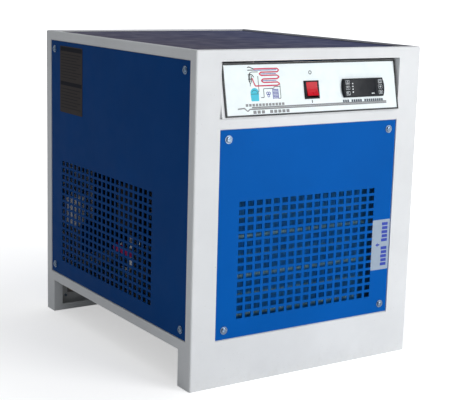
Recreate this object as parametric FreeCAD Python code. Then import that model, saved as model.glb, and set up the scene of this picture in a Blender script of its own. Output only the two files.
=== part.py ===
"""Refrigerated compressed-air dryer: a folded sheet-metal cabinet with screwed-in
panels, a sloping control panel, and the refrigeration, air and drain circuits inside.

Frame: millimetres, +Z up, the front faces -Y. Shapes are modelled with the front
face on y = 0 and are moved back on export, so that the origin lies at the bottom
centre of the whole object's box.
"""
import FreeCAD, Part
import math
import os
from FreeCAD import Vector

# ---- driving dimensions ------------------------------------------------------
WIDTH, DEPTH, HEIGHT = 440.0, 530.0, 530.0
SHEET = 2.0            # frame sheet
PANEL = 1.5            # panel sheet
BEND = 3.0             # outer bend radius of the frame
BORDER = 45.0          # front and rear frame border beside the windows
FOOT_FRONT = 37.0      # how far the front frame wraps round the side
FOOT_REAR = 33.0
RAIL_LOW = 60.6        # underside of the side rails
SIDE_LOW = 77.6        # bottom of the side windows
SIDE_TOP = 514.0       # top of the side windows
SIDE_FRONT, SIDE_REAR = 16.0, DEPTH - 21.0
PANEL_LOW, PANEL_TOP = 76.0, 410.0       # front panel window
CONTROL_LOW, CONTROL_TOP = 426.0, 512.0  # control window
RECESS = 1.0           # panels sit this far behind the frame
TOP_RECESS = 3.5       # the lid sits deeper
LEDGE = 22.0           # ledge behind each panel
GAP = 1.2              # gap round each panel
RIM = 5.0              # rim round the lid
SCREW_INSET, SERVICE_INSET = 16.0, 6.0   # screws in from a window's edge
SCREW_R, SCREW_HOLE_R = 1.95, 2.1
SCREW_HEAD_R, SCREW_HEAD_H, WASHER_R, WASHER_T = 4.6, 2.2, 6.5, 1.0
SMALL_HEAD_R, SMALL_HEAD_H = 3.8, 2.0    # the service plate's screws have no washers
SCREW_END = 9.0                          # how far in the screws reach
HOLE_W, HOLE_H = 11.2, 8.6               # grille holes
PITCH_W, PITCH_H = 16.25, 12.85
GRILLE_TOP = 291.5     # height of the top row of holes
GRILLE_ROWS, FRONT_COLUMNS, SIDE_COLUMNS = 15, 17, 21
SIDE_GRILLE_Y = DEPTH - 234.0            # middle of the side grilles
LOUVRE_LOW, LOUVRE_PITCH, LOUVRE_W, LOUVRE_H = 120.0, 20.0, 110.0, 6.0
LOUVRE_COLUMNS = ((90.0, 12), (-60.0, 8))      # middle, number of slots
FITTING_OUT = 22.2     # the air fittings stand behind the rear face
HALF = WIDTH / 2
TRAY_FLOOR = RAIL_LOW + SHEET            # underside of the base tray
TRAY_TOP = TRAY_FLOOR + SHEET
LOW_WINDOW = (14.0, 58.0)                # service plate window, low in the rear frame
LOW_WINDOW_HALF = 190.0
CONTROL_WALL = 22.0                      # depth of the wall round the control window
TRAY_EDGE, TRAY_END, TRAY_LIP = HALF - 5.0, 6.0, 12.0

# ---- control panel slope -----------------------------------------------------
SLOPE_FOOT = Vector(0, -4.0, CONTROL_LOW + 0.5)      # its lower edge stands proud
SLOPE_RUN, SLOPE_RISE = 17.4, 81.8
SLOPE_LENGTH = math.hypot(SLOPE_RUN, SLOPE_RISE)
TILT = math.degrees(math.atan2(SLOPE_RUN, SLOPE_RISE))
OVERLAY = (-168.5, 172.5, 1.4, SLOPE_LENGTH - 0.6)   # s0, s1, t0, t1 of the trim's outside
TRIM_W, TRIM_T, OVERLAY_T = 2.5, 2.0, 1.2
CONTROLS_T = 38.6                        # height of the controls up the slope
SWITCH_S, INDICATOR_S = -4.0, 99.6
ROCK = 8.0                               # rocker tilt each way, degrees
ROCKER_PIVOT_N = -3.0
KEY_PITCH, KEY_OFFSETS = 8.8, (-34.0, 33.6)
SWITCH_BODY = (12.4, 13.4)               # half width, half height behind the bezel
INDICATOR_BODY = (36.0, 12.6)

# ---- machine layout ----------------------------------------------------------
FAN_Z, FAN_R = 250.0, 112.0
BULKHEAD_Y, BULKHEAD_TOP, BULKHEAD_HALF = 72.0, 415.0, 175.0
TUBE_PITCH, TUBE_LOW, TUBE_RUNS, TUBE_R = 32.1, 105.3, 10, 4.8
TUBE_Y, COIL_HALF = 28.0, 150.0
COIL_Y = (22.4, 58.0)
PORT_X = 165.0
COMPRESSOR = Vector(70, 385, 0)
SHELL_R, SHELL_LOW, SHELL_TOP = 80.0, 87.0, 262.0
SUCTION_Y, DISCHARGE_Z = 425.0, 200.0
FEET = [Vector(x, y, 0) for x in (-75, 75) for y in (-52, 52)]
GROMMET_TOP, FOOT_PLATE, BOLT_R, BOLT_HOLE_R = 84.0, 3.0, 4.0, 4.3
BOX_HX = (-190.0, -70.0, 200.0, 460.0, 288.0, 506.0)   # insulated heat exchanger
STACK = Vector(-160, 295, 0)             # separator, valve and drain stand on one line
VALVE_Z, DRAIN_BODY_Z = 167.0, 98.0
DRAIN_DROP_Y = 440.0
CAPACITOR = Vector(-188, 473, 172)       # the can stands upright beside its bracket
CAPACITOR_R, CAPACITOR_H = 20.0, 56.0
HOT_GAS = Vector(-96, 316, 236)          # hot-gas bypass valve
AIR_X, INLET_Z, OUTLET_Z = -130.0, 455.0, 330.0
SOCKET_SHANK_R, CONNECTOR_R, GLAND_R, HOLE_PLAY = 17.0, 7.0, 8.0, 0.2
DRAIN_X, DRAIN_Z, DRAIN_TUBE_R = -168.0, 36.0, 4.0
GLAND_X = 120.0


# ---- helpers -----------------------------------------------------------------
def box(x0, x1, y0, y1, z0, z1):
    return Part.makeBox(x1 - x0, y1 - y0, z1 - z0, Vector(x0, y0, z0))


def cylinder(r, h, base, axis=Vector(0, 0, 1)):
    return Part.makeCylinder(r, h, base, axis)


def fuse(shapes):
    shapes = list(shapes)
    whole = shapes[0].multiFuse(shapes[1:]) if len(shapes) > 1 else shapes[0]
    return whole.removeSplitter()


def point(side, u, v, w):
    """A point on a cabinet side: u across, v up (back on the lid), w into the cabinet."""
    return {
        "front": Vector(u, w, v),
        "rear": Vector(u, DEPTH - w, v),
        "left": Vector(-HALF + w, u, v),
        "right": Vector(HALF - w, u, v),
        "top": Vector(u, v, HEIGHT - w),
    }[side]


INWARD = {"front": Vector(0, 1, 0), "rear": Vector(0, -1, 0), "left": Vector(1, 0, 0),
          "right": Vector(-1, 0, 0), "top": Vector(0, 0, -1)}


def side_box(side, u0, u1, v0, v1, w0, w1):
    a, b = point(side, u0, v0, w0), point(side, u1, v1, w1)
    low = [min(a[i], b[i]) for i in range(3)]
    high = [max(a[i], b[i]) for i in range(3)]
    return box(low[0], high[0], low[1], high[1], low[2], high[2])


def side_ring(side, window, grow, shrink, w0, w1):
    """A rectangular ring round a window's edge: grown outside it, shrunk inside it."""
    u0, u1, v0, v1 = window
    outer = side_box(side, u0 - grow, u1 + grow, v0 - grow, v1 + grow, w0, w1)
    return outer.cut(side_box(side, u0 + shrink, u1 - shrink, v0 + shrink, v1 - shrink,
                              w0 - 1, w1 + 1))


def side_drill(side, u, v, r, w0, w1):
    return cylinder(r, w1 - w0, point(side, u, v, w0), INWARD[side])


def loop(points):
    return Part.makePolygon(points + [points[0]])


def tube_path(points, bend):
    """A wire of straight runs joined by tangent arcs of one bend radius."""
    if len(points) == 2:
        return Part.Wire([Part.LineSegment(points[0], points[1]).toShape()])
    edges, start = [], points[0]
    for before, corner, after in zip(points, points[1:], points[2:]):
        a = (before - corner).normalize()
        b = (after - corner).normalize()
        half = a.getAngle(b) / 2
        reach = bend / math.tan(half)
        p, q = corner + a * reach, corner + b * reach
        middle = corner + (a + b).normalize() * (bend / math.sin(half) - bend)
        edges += [Part.LineSegment(start, p).toShape(), Part.Arc(p, middle, q).toShape()]
        start = q
    edges.append(Part.LineSegment(start, points[-1]).toShape())
    return Part.Wire(edges)


def tube(points, r, bend, wall=0.0):
    """A round tube or rod along a bent path; wall 0 makes it solid."""
    path = tube_path(points, bend)
    direction = points[1] - points[0]

    def swept(radius):
        circle = Part.Circle(points[0], direction, radius).toShape()
        return path.makePipeShell([Part.Wire([circle])], True, False)
    solid = swept(r)
    return solid.cut(swept(r - wall)) if wall else solid


def spun(profile, centre):
    """A solid of revolution about a vertical axis; the profile is (radius, height) points."""
    face = Part.Face(loop([Vector(centre.x + r, centre.y, z) for r, z in profile]))
    return face.revolve(Vector(centre.x, centre.y, 0), Vector(0, 0, 1), 360)


def hexagon(r, h, base, axis):
    """A hexagonal prism; r reaches the corners."""
    prism = Part.Face(loop([Vector(r * math.cos(math.radians(60 * k)),
                                   r * math.sin(math.radians(60 * k)), 0)
                            for k in range(6)])).extrude(Vector(0, 0, h))
    prism.Placement = FreeCAD.Placement(base, FreeCAD.Rotation(Vector(0, 0, 1), axis))
    return prism


# ---- cabinet frame -----------------------------------------------------------
FRONT_WINDOW = (-HALF + BORDER, HALF - BORDER, PANEL_LOW, PANEL_TOP)
CONTROL_WINDOW = (-HALF + BORDER, HALF - BORDER, CONTROL_LOW, CONTROL_TOP)
SIDE_WINDOW = (SIDE_FRONT, SIDE_REAR, SIDE_LOW, SIDE_TOP)
REAR_WINDOW = (-HALF + BORDER, HALF - BORDER, PANEL_LOW, CONTROL_TOP)
SERVICE_WINDOW = (-LOW_WINDOW_HALF, LOW_WINDOW_HALF) + LOW_WINDOW
TOP_WINDOW = (-HALF + RIM, HALF - RIM, RIM, DEPTH - RIM)
WINDOWS = [  # side, window, recess, ledge
    ("front", FRONT_WINDOW, RECESS, LEDGE),
    ("left", SIDE_WINDOW, RECESS, LEDGE),
    ("right", SIDE_WINDOW, RECESS, LEDGE),
    ("rear", REAR_WINDOW, RECESS, LEDGE),
    ("rear", SERVICE_WINDOW, RECESS, 10.0),
    ("top", TOP_WINDOW, TOP_RECESS, 20.0),
]


def joggle(side, window, recess, ledge):
    """The stepped edge of a window: a wall going in, and the ledge that a panel lies on."""
    seat = recess + PANEL
    return [side_ring(side, window, SHEET, 0, 0, seat + SHEET),
            side_ring(side, window, 0.5, ledge, seat, seat + SHEET)]


def screw_places(window, inset=SCREW_INSET):
    u0, u1, v0, v1 = window
    return [(u, v) for u in (u0 + inset, u1 - inset) for v in (v0 + inset, v1 - inset)]


SCREWED = [("front", FRONT_WINDOW, SCREW_INSET), ("left", SIDE_WINDOW, SCREW_INSET),
           ("right", SIDE_WINDOW, SCREW_INSET), ("rear", REAR_WINDOW, SCREW_INSET),
           ("rear", SERVICE_WINDOW, SERVICE_INSET)]


def rounded_shell():
    """The cabinet's skin: a box with bent edges, hollow, open on no side yet."""
    def block(inset, radius):
        whole = box(-HALF + inset, HALF - inset, inset, DEPTH - inset, inset, HEIGHT - inset)
        edges = [e for e in whole.Edges if e.BoundBox.ZMax > HEIGHT / 2]
        return whole.makeFillet(radius, edges)
    return block(0, BEND).cut(block(SHEET, BEND - SHEET))


def cabinet():
    """The whole frame in one piece, before it is parted into its real members."""
    skin = rounded_shell()
    cuts = [side_box(side, *window, -1, SHEET + 1.5) for side, window, _, _ in WINDOWS]
    cuts.append(side_box("front", *CONTROL_WINDOW, -1, SHEET + 1))
    rear_foot = DEPTH - FOOT_REAR
    cuts.append(box(-HALF - 1, HALF + 1, FOOT_FRONT, rear_foot, -1, RAIL_LOW))
    skin = skin.cut(cuts[0].multiFuse(cuts[1:]))
    adds = []
    for side, window, recess, ledge in WINDOWS:
        adds += joggle(side, window, recess, ledge)
    adds.append(side_ring("front", CONTROL_WINDOW, SHEET, 0, 0.0, CONTROL_WALL))
    inner, flange, lip, sill = HALF - SHEET, 20.0, 15.0, 12.0
    floor_ring = box(-inner, inner, SHEET, DEPTH - SHEET, RAIL_LOW, TRAY_FLOOR)
    adds.append(floor_ring.cut(box(flange - HALF, HALF - flange, flange, DEPTH - flange,
                                   RAIL_LOW - 1, TRAY_FLOOR + 1)))
    for y in (FOOT_FRONT - SHEET, rear_foot):
        for x in (-inner, inner - lip):
            adds.append(box(x, x + lip, y, y + SHEET, SHEET, RAIL_LOW))
        adds.append(box(-inner, inner, y, y + SHEET, SHEET, sill))
    whole = fuse([skin] + adds)
    drills = [side_drill(side, u, v, SCREW_HOLE_R, -1, 8)
              for side, window, inset in SCREWED for u, v in screw_places(window, inset)]
    return whole.cut(drills[0].multiFuse(drills[1:]))


def frame_members():
    """Parts the cabinet at the feet: two end frames, and the rails between them."""
    whole = cabinet()
    far = 2 * HEIGHT
    rear_foot = DEPTH - FOOT_REAR
    front = whole.common(box(-far, far, -far, FOOT_FRONT, -far, far))
    rear = whole.common(box(-far, far, rear_foot, far, -far, far))
    rails = whole.common(box(-far, far, FOOT_FRONT, rear_foot, -far, far))
    top = rails.common(box(-far, far, -far, far, HEIGHT / 2, far))
    low = rails.common(box(-far, far, -far, far, -far, HEIGHT / 2))
    return {"front_frame": front, "rear_frame": rear, "top_rails": top, "bottom_rails": low}


# ---- panels ------------------------------------------------------------------
def sheet_panel(side, window, recess, rectangles=(), circles=()):
    """A flat panel in its window, with rectangular and round holes."""
    u0, u1, v0, v1 = window
    wires = [loop([point(side, u, v, recess) for u, v in
                   ((u0 + GAP, v0 + GAP), (u1 - GAP, v0 + GAP), (u1 - GAP, v1 - GAP),
                    (u0 + GAP, v1 - GAP))])]
    for cu, cv, w, h in rectangles:
        wires.append(loop([point(side, cu + a * w / 2, cv + b * h / 2, recess)
                           for a, b in ((-1, -1), (1, -1), (1, 1), (-1, 1))]))
    for cu, cv, r in circles:
        centre = point(side, cu, cv, recess)
        wires.append(Part.Wire([Part.Circle(centre, INWARD[side], r).toShape()]))
    face = Part.makeFace(wires, "Part::FaceMakerBullseye")
    return face.extrude(INWARD[side] * PANEL)


def grille(centre, columns):
    """The punched holes of a grille, as (u, v, width, height)."""
    first = centre - PITCH_W * (columns - 1) / 2
    return [(first + PITCH_W * c, GRILLE_TOP - PITCH_H * r, HOLE_W, HOLE_H)
            for r in range(GRILLE_ROWS) for c in range(columns)]


def screw_holes(window, inset=SCREW_INSET):
    return [(u, v, SCREW_HOLE_R) for u, v in screw_places(window, inset)]


def hood(u, v, width, height):
    """A pressed louvre over a slot of the rear panel: a sloping roof and two cheeks."""
    out, cheek, root, sheet, above = 5.5, 1.2, 0.5, 1.5, 5.0
    low, top = v - height / 2 - root, v + height / 2 + above
    left, right = u - width / 2 - 2 * cheek, u + width / 2 + 2 * cheek

    def prism(profile, start, end):
        wire = loop([point("rear", start, z, RECESS - o) for z, o in profile])
        return Part.Face(wire).extrude(Vector(end - start, 0, 0))
    roof = [(top, -root), (top, 0.0), (low, out), (low, out - sheet),
            (top - 1.2 * sheet, -root)]
    end = [(top - 0.2, -root), (low, out - 0.2), (low, -root)]
    return [prism(roof, left, right), prism(end, left, left + cheek),
            prism(end, right - cheek, right)]


def panels():
    louvres = [(x, LOUVRE_LOW + LOUVRE_PITCH * k, LOUVRE_W, LOUVRE_H)
               for x, count in LOUVRE_COLUMNS for k in range(count)]
    hoods = [shape for slot in louvres for shape in hood(*slot)]
    fittings = [(AIR_X, z, SOCKET_SHANK_R + HOLE_PLAY) for z in (INLET_Z, OUTLET_Z)]
    service = [(DRAIN_X, DRAIN_Z, CONNECTOR_R + HOLE_PLAY),
               (GLAND_X, DRAIN_Z, GLAND_R + HOLE_PLAY)]
    return {
        "front_panel": sheet_panel("front", FRONT_WINDOW, RECESS, grille(0, FRONT_COLUMNS),
                                   screw_holes(FRONT_WINDOW)),
        "left_panel": sheet_panel("left", SIDE_WINDOW, RECESS,
                                  grille(SIDE_GRILLE_Y, SIDE_COLUMNS), screw_holes(SIDE_WINDOW)),
        "right_panel": sheet_panel("right", SIDE_WINDOW, RECESS,
                                   grille(SIDE_GRILLE_Y, SIDE_COLUMNS), screw_holes(SIDE_WINDOW)),
        "top_panel": sheet_panel("top", TOP_WINDOW, TOP_RECESS),
        "rear_panel": fuse([sheet_panel("rear", REAR_WINDOW, RECESS, louvres,
                                        screw_holes(REAR_WINDOW) + fittings)] + hoods),
        "rear_service_plate": sheet_panel("rear", SERVICE_WINDOW, RECESS, (),
                                          screw_holes(SERVICE_WINDOW, SERVICE_INSET) + service),
    }


def panel_screw(side, u, v):
    """A pan-head screw with a cross recess, driven through its washer."""
    out = -(WASHER_T - RECESS)
    head = side_drill(side, u, v, SCREW_HEAD_R, out - SCREW_HEAD_H, out)
    crown = point(side, u, v, out - SCREW_HEAD_H)
    rim = [e for e in head.Edges if (e.CenterOfMass - crown).Length < 0.01]
    head = head.makeFillet(1.5, rim[:1])
    slot, long_slot, deep = 0.9, 4.8, 1.1
    for du, dv in ((slot, long_slot), (long_slot, slot)):
        head = head.cut(side_box(side, u - du / 2, u + du / 2, v - dv / 2, v + dv / 2,
                                 out - SCREW_HEAD_H - 1, out - SCREW_HEAD_H + deep))
    return head.fuse(side_drill(side, u, v, SCREW_R, out - 0.5, SCREW_END)).removeSplitter()


def panel_washer(side, u, v):
    out = RECESS - WASHER_T
    return side_drill(side, u, v, WASHER_R, out, RECESS).cut(
        side_drill(side, u, v, SCREW_HOLE_R + 0.2, out - 1, RECESS + 1))


def fasteners():
    places = [(side, u, v) for side, window, inset in SCREWED[:4]
              for u, v in screw_places(window, inset)]
    small = [("rear", u, v) for u, v in screw_places(SERVICE_WINDOW, SERVICE_INSET)]
    screws = [panel_screw(*p) for p in places]
    for side, u, v in small:
        head = side_drill(side, u, v, SMALL_HEAD_R, RECESS - SMALL_HEAD_H, RECESS)
        screws.append(head.fuse(side_drill(side, u, v, SCREW_R, RECESS - 0.5, SCREW_END)))
    return {"panel_screws": Part.makeCompound(screws),
            "panel_washers": Part.makeCompound([panel_washer(*p) for p in places])}


def base_tray():
    """Folded tray that carries the machinery, lying on the rails' lower flanges."""
    edge, end = TRAY_EDGE, TRAY_END
    tray = box(-edge, edge, end, DEPTH - end, TRAY_FLOOR, TRAY_FLOOR + TRAY_LIP)
    tray = tray.cut(box(-edge + SHEET, edge - SHEET, end + SHEET, DEPTH - end - SHEET,
                        TRAY_TOP, TRAY_FLOOR + TRAY_LIP + 1))
    below, deep = TRAY_FLOOR - 4, 10.0
    holes = [cylinder(BOLT_HOLE_R, deep, Vector(x, y, below)) for x, y in foot_places()]
    holes.append(cylinder(DRAIN_TUBE_R + 2, deep, Vector(DRAIN_X, DRAIN_DROP_Y, below)))
    return tray.cut(holes[0].multiFuse(holes[1:]))


# ---- control panel -----------------------------------------------------------
def slope_box(s0, s1, t0, t1, n0, n1):
    """A box on the slope: s across, t up the slope, n out of it. Not yet tilted."""
    return box(s0, s1, -n1, -n0, t0, t1)


def on_slope(shape):
    placed = shape.copy()
    placed.rotate(Vector(0, 0, 0), Vector(1, 0, 0), -TILT)
    placed.translate(SLOPE_FOOT)
    return placed


def control_cutouts(n0, n1, play):
    (sw, sh), (iw, ih) = SWITCH_BODY, INDICATOR_BODY
    return slope_box(SWITCH_S - sw - play, SWITCH_S + sw + play, CONTROLS_T - sh - play,
                     CONTROLS_T + sh + play, n0, n1).fuse(
        slope_box(INDICATOR_S - iw - play, INDICATOR_S + iw + play, CONTROLS_T - ih - play,
                  CONTROLS_T + ih + play, n0, n1))


def control_panel():
    """The sloping carrier, the printed overlay stuck on it, and the trim round the overlay."""
    half = HALF - BORDER - 0.4
    flange = 12.0
    carrier = slope_box(-half, half, 0, SLOPE_LENGTH, -SHEET, 0)
    carrier = carrier.fuse([
        slope_box(-half, -half + SHEET, 0, SLOPE_LENGTH, -flange, -SHEET).cut(
            slope_box(-half - 1, half, -1, 3.5, -flange - 1, -SHEET)),
        slope_box(half - SHEET, half, 0, SLOPE_LENGTH, -flange, -SHEET).cut(
            slope_box(-half, half + 1, -1, 3.5, -flange - 1, -SHEET)),
        slope_box(-half, half, SLOPE_LENGTH - SHEET, SLOPE_LENGTH, -flange, -SHEET)])
    carrier = carrier.removeSplitter().cut(control_cutouts(-SHEET - 1, 1, 0.3))
    s0, s1, t0, t1 = OVERLAY
    inside = (s0 + TRIM_W, s1 - TRIM_W, t0 + TRIM_W, t1 - TRIM_W)
    trim = slope_box(s0, s1, t0, t1, 0, TRIM_T).cut(slope_box(*inside, -1, TRIM_T + 1))
    overlay = slope_box(*inside, 0, OVERLAY_T).cut(control_cutouts(-1, OVERLAY_T + 1, 0.3))
    return {"control_carrier": on_slope(carrier), "overlay_trim": on_slope(trim),
            "control_overlay": on_slope(overlay)}


def rocker_switch():
    """Housing with a bezel, and the rocker on its two pins, its top end pressed in."""
    sw, sh = SWITCH_BODY
    bezel_top = 3.6
    bezel = slope_box(SWITCH_S - 14.25, SWITCH_S + 14.25, CONTROLS_T - 14.4, CONTROLS_T + 14.4,
                      OVERLAY_T, bezel_top)
    bezel = bezel.makeFillet(1.0, [e for e in bezel.Edges if e.BoundBox.YMax < -OVERLAY_T - 1])
    body = slope_box(SWITCH_S - sw, SWITCH_S + sw, CONTROLS_T - sh, CONTROLS_T + sh,
                     -20.0, OVERLAY_T)
    pocket = slope_box(SWITCH_S - 10.9, SWITCH_S + 10.9, CONTROLS_T - 12.3, CONTROLS_T + 12.3,
                       -9.0, bezel_top + 1)
    pin_r, pin_reach = 1.2, 11.7
    pivot = Vector(SWITCH_S, -ROCKER_PIVOT_N, CONTROLS_T)
    holes = cylinder(pin_r + 0.06, 24.0, pivot - Vector(12.0, 0, 0), Vector(1, 0, 0))
    housing = bezel.fuse(body).removeSplitter().cut([pocket, holes])
    tabs = [slope_box(SWITCH_S + ds - 0.4, SWITCH_S + ds + 0.4, CONTROLS_T + dt - 3.1,
                      CONTROLS_T + dt + 3.1, -30.0, -20.0)
            for ds in (-5.5, 5.5) for dt in (-7.0, 7.0)]
    half, profile = 10.6, [(-11.0, 5.2), (-5.5, 4.2), (0.0, 3.9), (5.5, 4.2), (11.0, 5.2),
                           (10.2, -1.5), (6.0, -6.5), (-6.0, -6.5), (-10.2, -1.5)]
    face = Part.Face(loop([Vector(SWITCH_S - half, -n, CONTROLS_T + t) for t, n in profile]))
    rocker = face.extrude(Vector(2 * half, 0, 0))
    pins = cylinder(pin_r, 2 * pin_reach, pivot - Vector(pin_reach, 0, 0), Vector(1, 0, 0))
    rocker = rocker.fuse(pins).removeSplitter()
    rocker.rotate(pivot, Vector(1, 0, 0), -ROCK)
    return {"switch_housing": on_slope(fuse([housing] + tabs)), "switch_rocker": on_slope(rocker)}


def indicator():
    """Dew-point indicator: bowed bezel on a deep body, a window and six keys."""
    front, half_w, half_h, bow = 6.2, 40.0, 15.0, 3.2

    def at(s, t):
        return Vector(INDICATOR_S + s, -OVERLAY_T, CONTROLS_T + t)
    outline = Part.Wire([
        Part.LineSegment(at(-half_w, half_h), at(half_w, half_h)).toShape(),
        Part.Arc(at(half_w, half_h), at(half_w + bow, 0), at(half_w, -half_h)).toShape(),
        Part.LineSegment(at(half_w, -half_h), at(-half_w, -half_h)).toShape(),
        Part.Arc(at(-half_w, -half_h), at(-half_w - bow, 0), at(-half_w, half_h)).toShape()])
    bezel = Part.Face(outline).extrude(Vector(0, -(front - OVERLAY_T), 0))
    bezel = bezel.makeFillet(1.2, [e for e in bezel.Edges if e.BoundBox.YMax < -front + 0.1])
    iw, ih = INDICATOR_BODY
    body = slope_box(INDICATOR_S - iw, INDICATOR_S + iw, CONTROLS_T - ih, CONTROLS_T + ih,
                     -52.0, OVERLAY_T)
    housing = bezel.fuse(body).removeSplitter()
    window = (INDICATOR_S - 26.0, INDICATOR_S + 25.0, CONTROLS_T - 12.4, CONTROLS_T + 12.4)
    housing = housing.cut(slope_box(*window, front - 1.2, front + 1))
    glass = slope_box(*window, front - 1.2, front - 0.1)
    shapes = {"indicator_window": on_slope(glass)}
    key_half, play = (4.6, 3.6), 0.25
    for column, ds in zip(("left", "right"), KEY_OFFSETS):
        for row, dt in zip(("top", "middle", "bottom"), (KEY_PITCH, 0.0, -KEY_PITCH)):
            s, t = INDICATOR_S + ds, CONTROLS_T + dt
            kw, kh = key_half
            housing = housing.cut(slope_box(s - kw - play, s + kw + play, t - kh - play,
                                            t + kh + play, 3.4, front + 1))
            key = slope_box(s - kw, s + kw, t - kh, t + kh, 4.2, 6.9)
            key = key.makeFillet(0.5, [e for e in key.Edges if e.BoundBox.YMax < -5])
            shapes["key_%s_%s" % (column, row)] = on_slope(key)
    shapes["indicator_housing"] = on_slope(housing)
    return shapes


# ---- condenser and fan -------------------------------------------------------
def run_heights():
    return [TUBE_LOW + TUBE_PITCH * k for k in range(TUBE_RUNS)]


def condenser():
    """A serpentine of ten runs through a fin pack, held by two end plates."""
    runs = run_heights()
    plate = 2.0
    bore = TUBE_R + 0.1
    low, high = runs[0] - 16, runs[-1] + 16
    holes = [cylinder(bore, 400, Vector(-200, TUBE_Y, z), Vector(1, 0, 0)) for z in runs]
    holes = holes[0].multiFuse(holes[1:])
    fins = box(-COIL_HALF, COIL_HALF, *COIL_Y, low, high).cut(holes)
    ends = [box(x, x + plate, COIL_Y[0] - 4, BULKHEAD_Y, low - 6, high + 4).cut(holes)
            for x in (-COIL_HALF - plate, COIL_HALF)]
    turn = COIL_HALF + 8.0
    straight = [cylinder(TUBE_R, 2 * turn, Vector(-turn, TUBE_Y, z), Vector(1, 0, 0))
                for z in runs]
    bends = []
    for k, (low_z, high_z) in enumerate(zip(runs, runs[1:])):
        x = -turn if k % 2 == 0 else turn
        middle = Vector(x, TUBE_Y, (low_z + high_z) / 2)
        ring = Part.makeTorus(TUBE_PITCH / 2, TUBE_R, middle, Vector(0, 1, 0))
        outside = box(-400, x, 0, 60, 0, 500) if k % 2 == 0 else box(x, 400, 0, 60, 0, 500)
        bends.append(ring.common(outside))
    ports = [cylinder(TUBE_R, PORT_X - turn, Vector(turn, TUBE_Y, z), Vector(1, 0, 0))
             for z in (runs[0], runs[-1])]
    return {"condenser_fins": fins, "condenser_end_plates": Part.makeCompound(ends),
            "condenser_tubes": fuse(straight + bends + ports)}


def fan():
    """Bulkhead with a collar, motor on a strap behind it, and a five-bladed fan."""
    axis = Vector(0, 1, 0)
    collar_r, collar_end = FAN_R + 6, 100.0
    plate = box(-BULKHEAD_HALF, BULKHEAD_HALF, BULKHEAD_Y, BULKHEAD_Y + SHEET,
                TRAY_TOP, BULKHEAD_TOP)
    centre = Vector(0, BULKHEAD_Y, FAN_Z)
    collar = cylinder(collar_r + SHEET, collar_end - BULKHEAD_Y, centre, axis)
    foot = box(-BULKHEAD_HALF, BULKHEAD_HALF, BULKHEAD_Y, BULKHEAD_Y + 16,
               TRAY_TOP, TRAY_TOP + SHEET)
    shroud = fuse([plate, collar, foot]).cut(
        cylinder(collar_r, collar_end, centre - axis, axis))
    strap_y, strap, reach = 112.0, 3.0, 134.0
    bracket = fuse([box(-reach, reach, strap_y, strap_y + strap, FAN_Z - 14, FAN_Z + 14),
                    box(-reach, -reach + strap, BULKHEAD_Y + SHEET, strap_y, FAN_Z - 14, FAN_Z + 14),
                    box(reach - strap, reach, BULKHEAD_Y + SHEET, strap_y, FAN_Z - 14, FAN_Z + 14)])
    hub_centre = Vector(0, 0, FAN_Z)
    bracket = bracket.cut(cylinder(12, 20, hub_centre + axis * (strap_y - 5), axis))
    motor_y, motor_r, motor_l, shaft_r = strap_y + strap, 41.0, 62.0, 4.0
    motor = cylinder(motor_r, motor_l, hub_centre + axis * motor_y, axis)
    motor = motor.makeFillet(6, [e for e in motor.Edges if e.BoundBox.YMin > motor_y + 1
                                 and e.BoundBox.YLength < 1])
    stack = box(-46, 46, motor_y + 14, motor_y + 44, FAN_Z - 30, FAN_Z + 30)
    motor = motor.fuse(stack).removeSplitter().cut(
        cylinder(shaft_r + 0.06, 18, hub_centre + axis * (motor_y - 1), axis))
    hub_r, hub_y0, hub_y1 = 26.0, 84.0, 106.0
    hub = cylinder(hub_r, hub_y1 - hub_y0, hub_centre + axis * hub_y0, axis)
    shaft = cylinder(shaft_r, 130 - hub_y0, hub_centre + axis * (hub_y0 - 3), axis)
    ring = cylinder(FAN_R, 26, hub_centre + axis * 82, axis)
    blades = []
    for k in range(5):
        blade = box(-1.0, 1.0, -27, 27, 0, FAN_R + 20)
        blade.rotate(Vector(0, 0, 0), Vector(0, 0, 1), 62)
        blade.translate(Vector(0, 95, FAN_Z))
        blade.rotate(hub_centre, axis, 72 * k)
        blades.append(blade.common(ring))
    return {"fan_shroud": shroud, "fan_bracket": bracket, "fan_motor": motor,
            "fan_blades": fuse([hub, shaft] + blades)}


# ---- compressor --------------------------------------------------------------
def foot_places():
    return [(COMPRESSOR.x + f.x, COMPRESSOR.y + f.y) for f in FEET]


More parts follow.
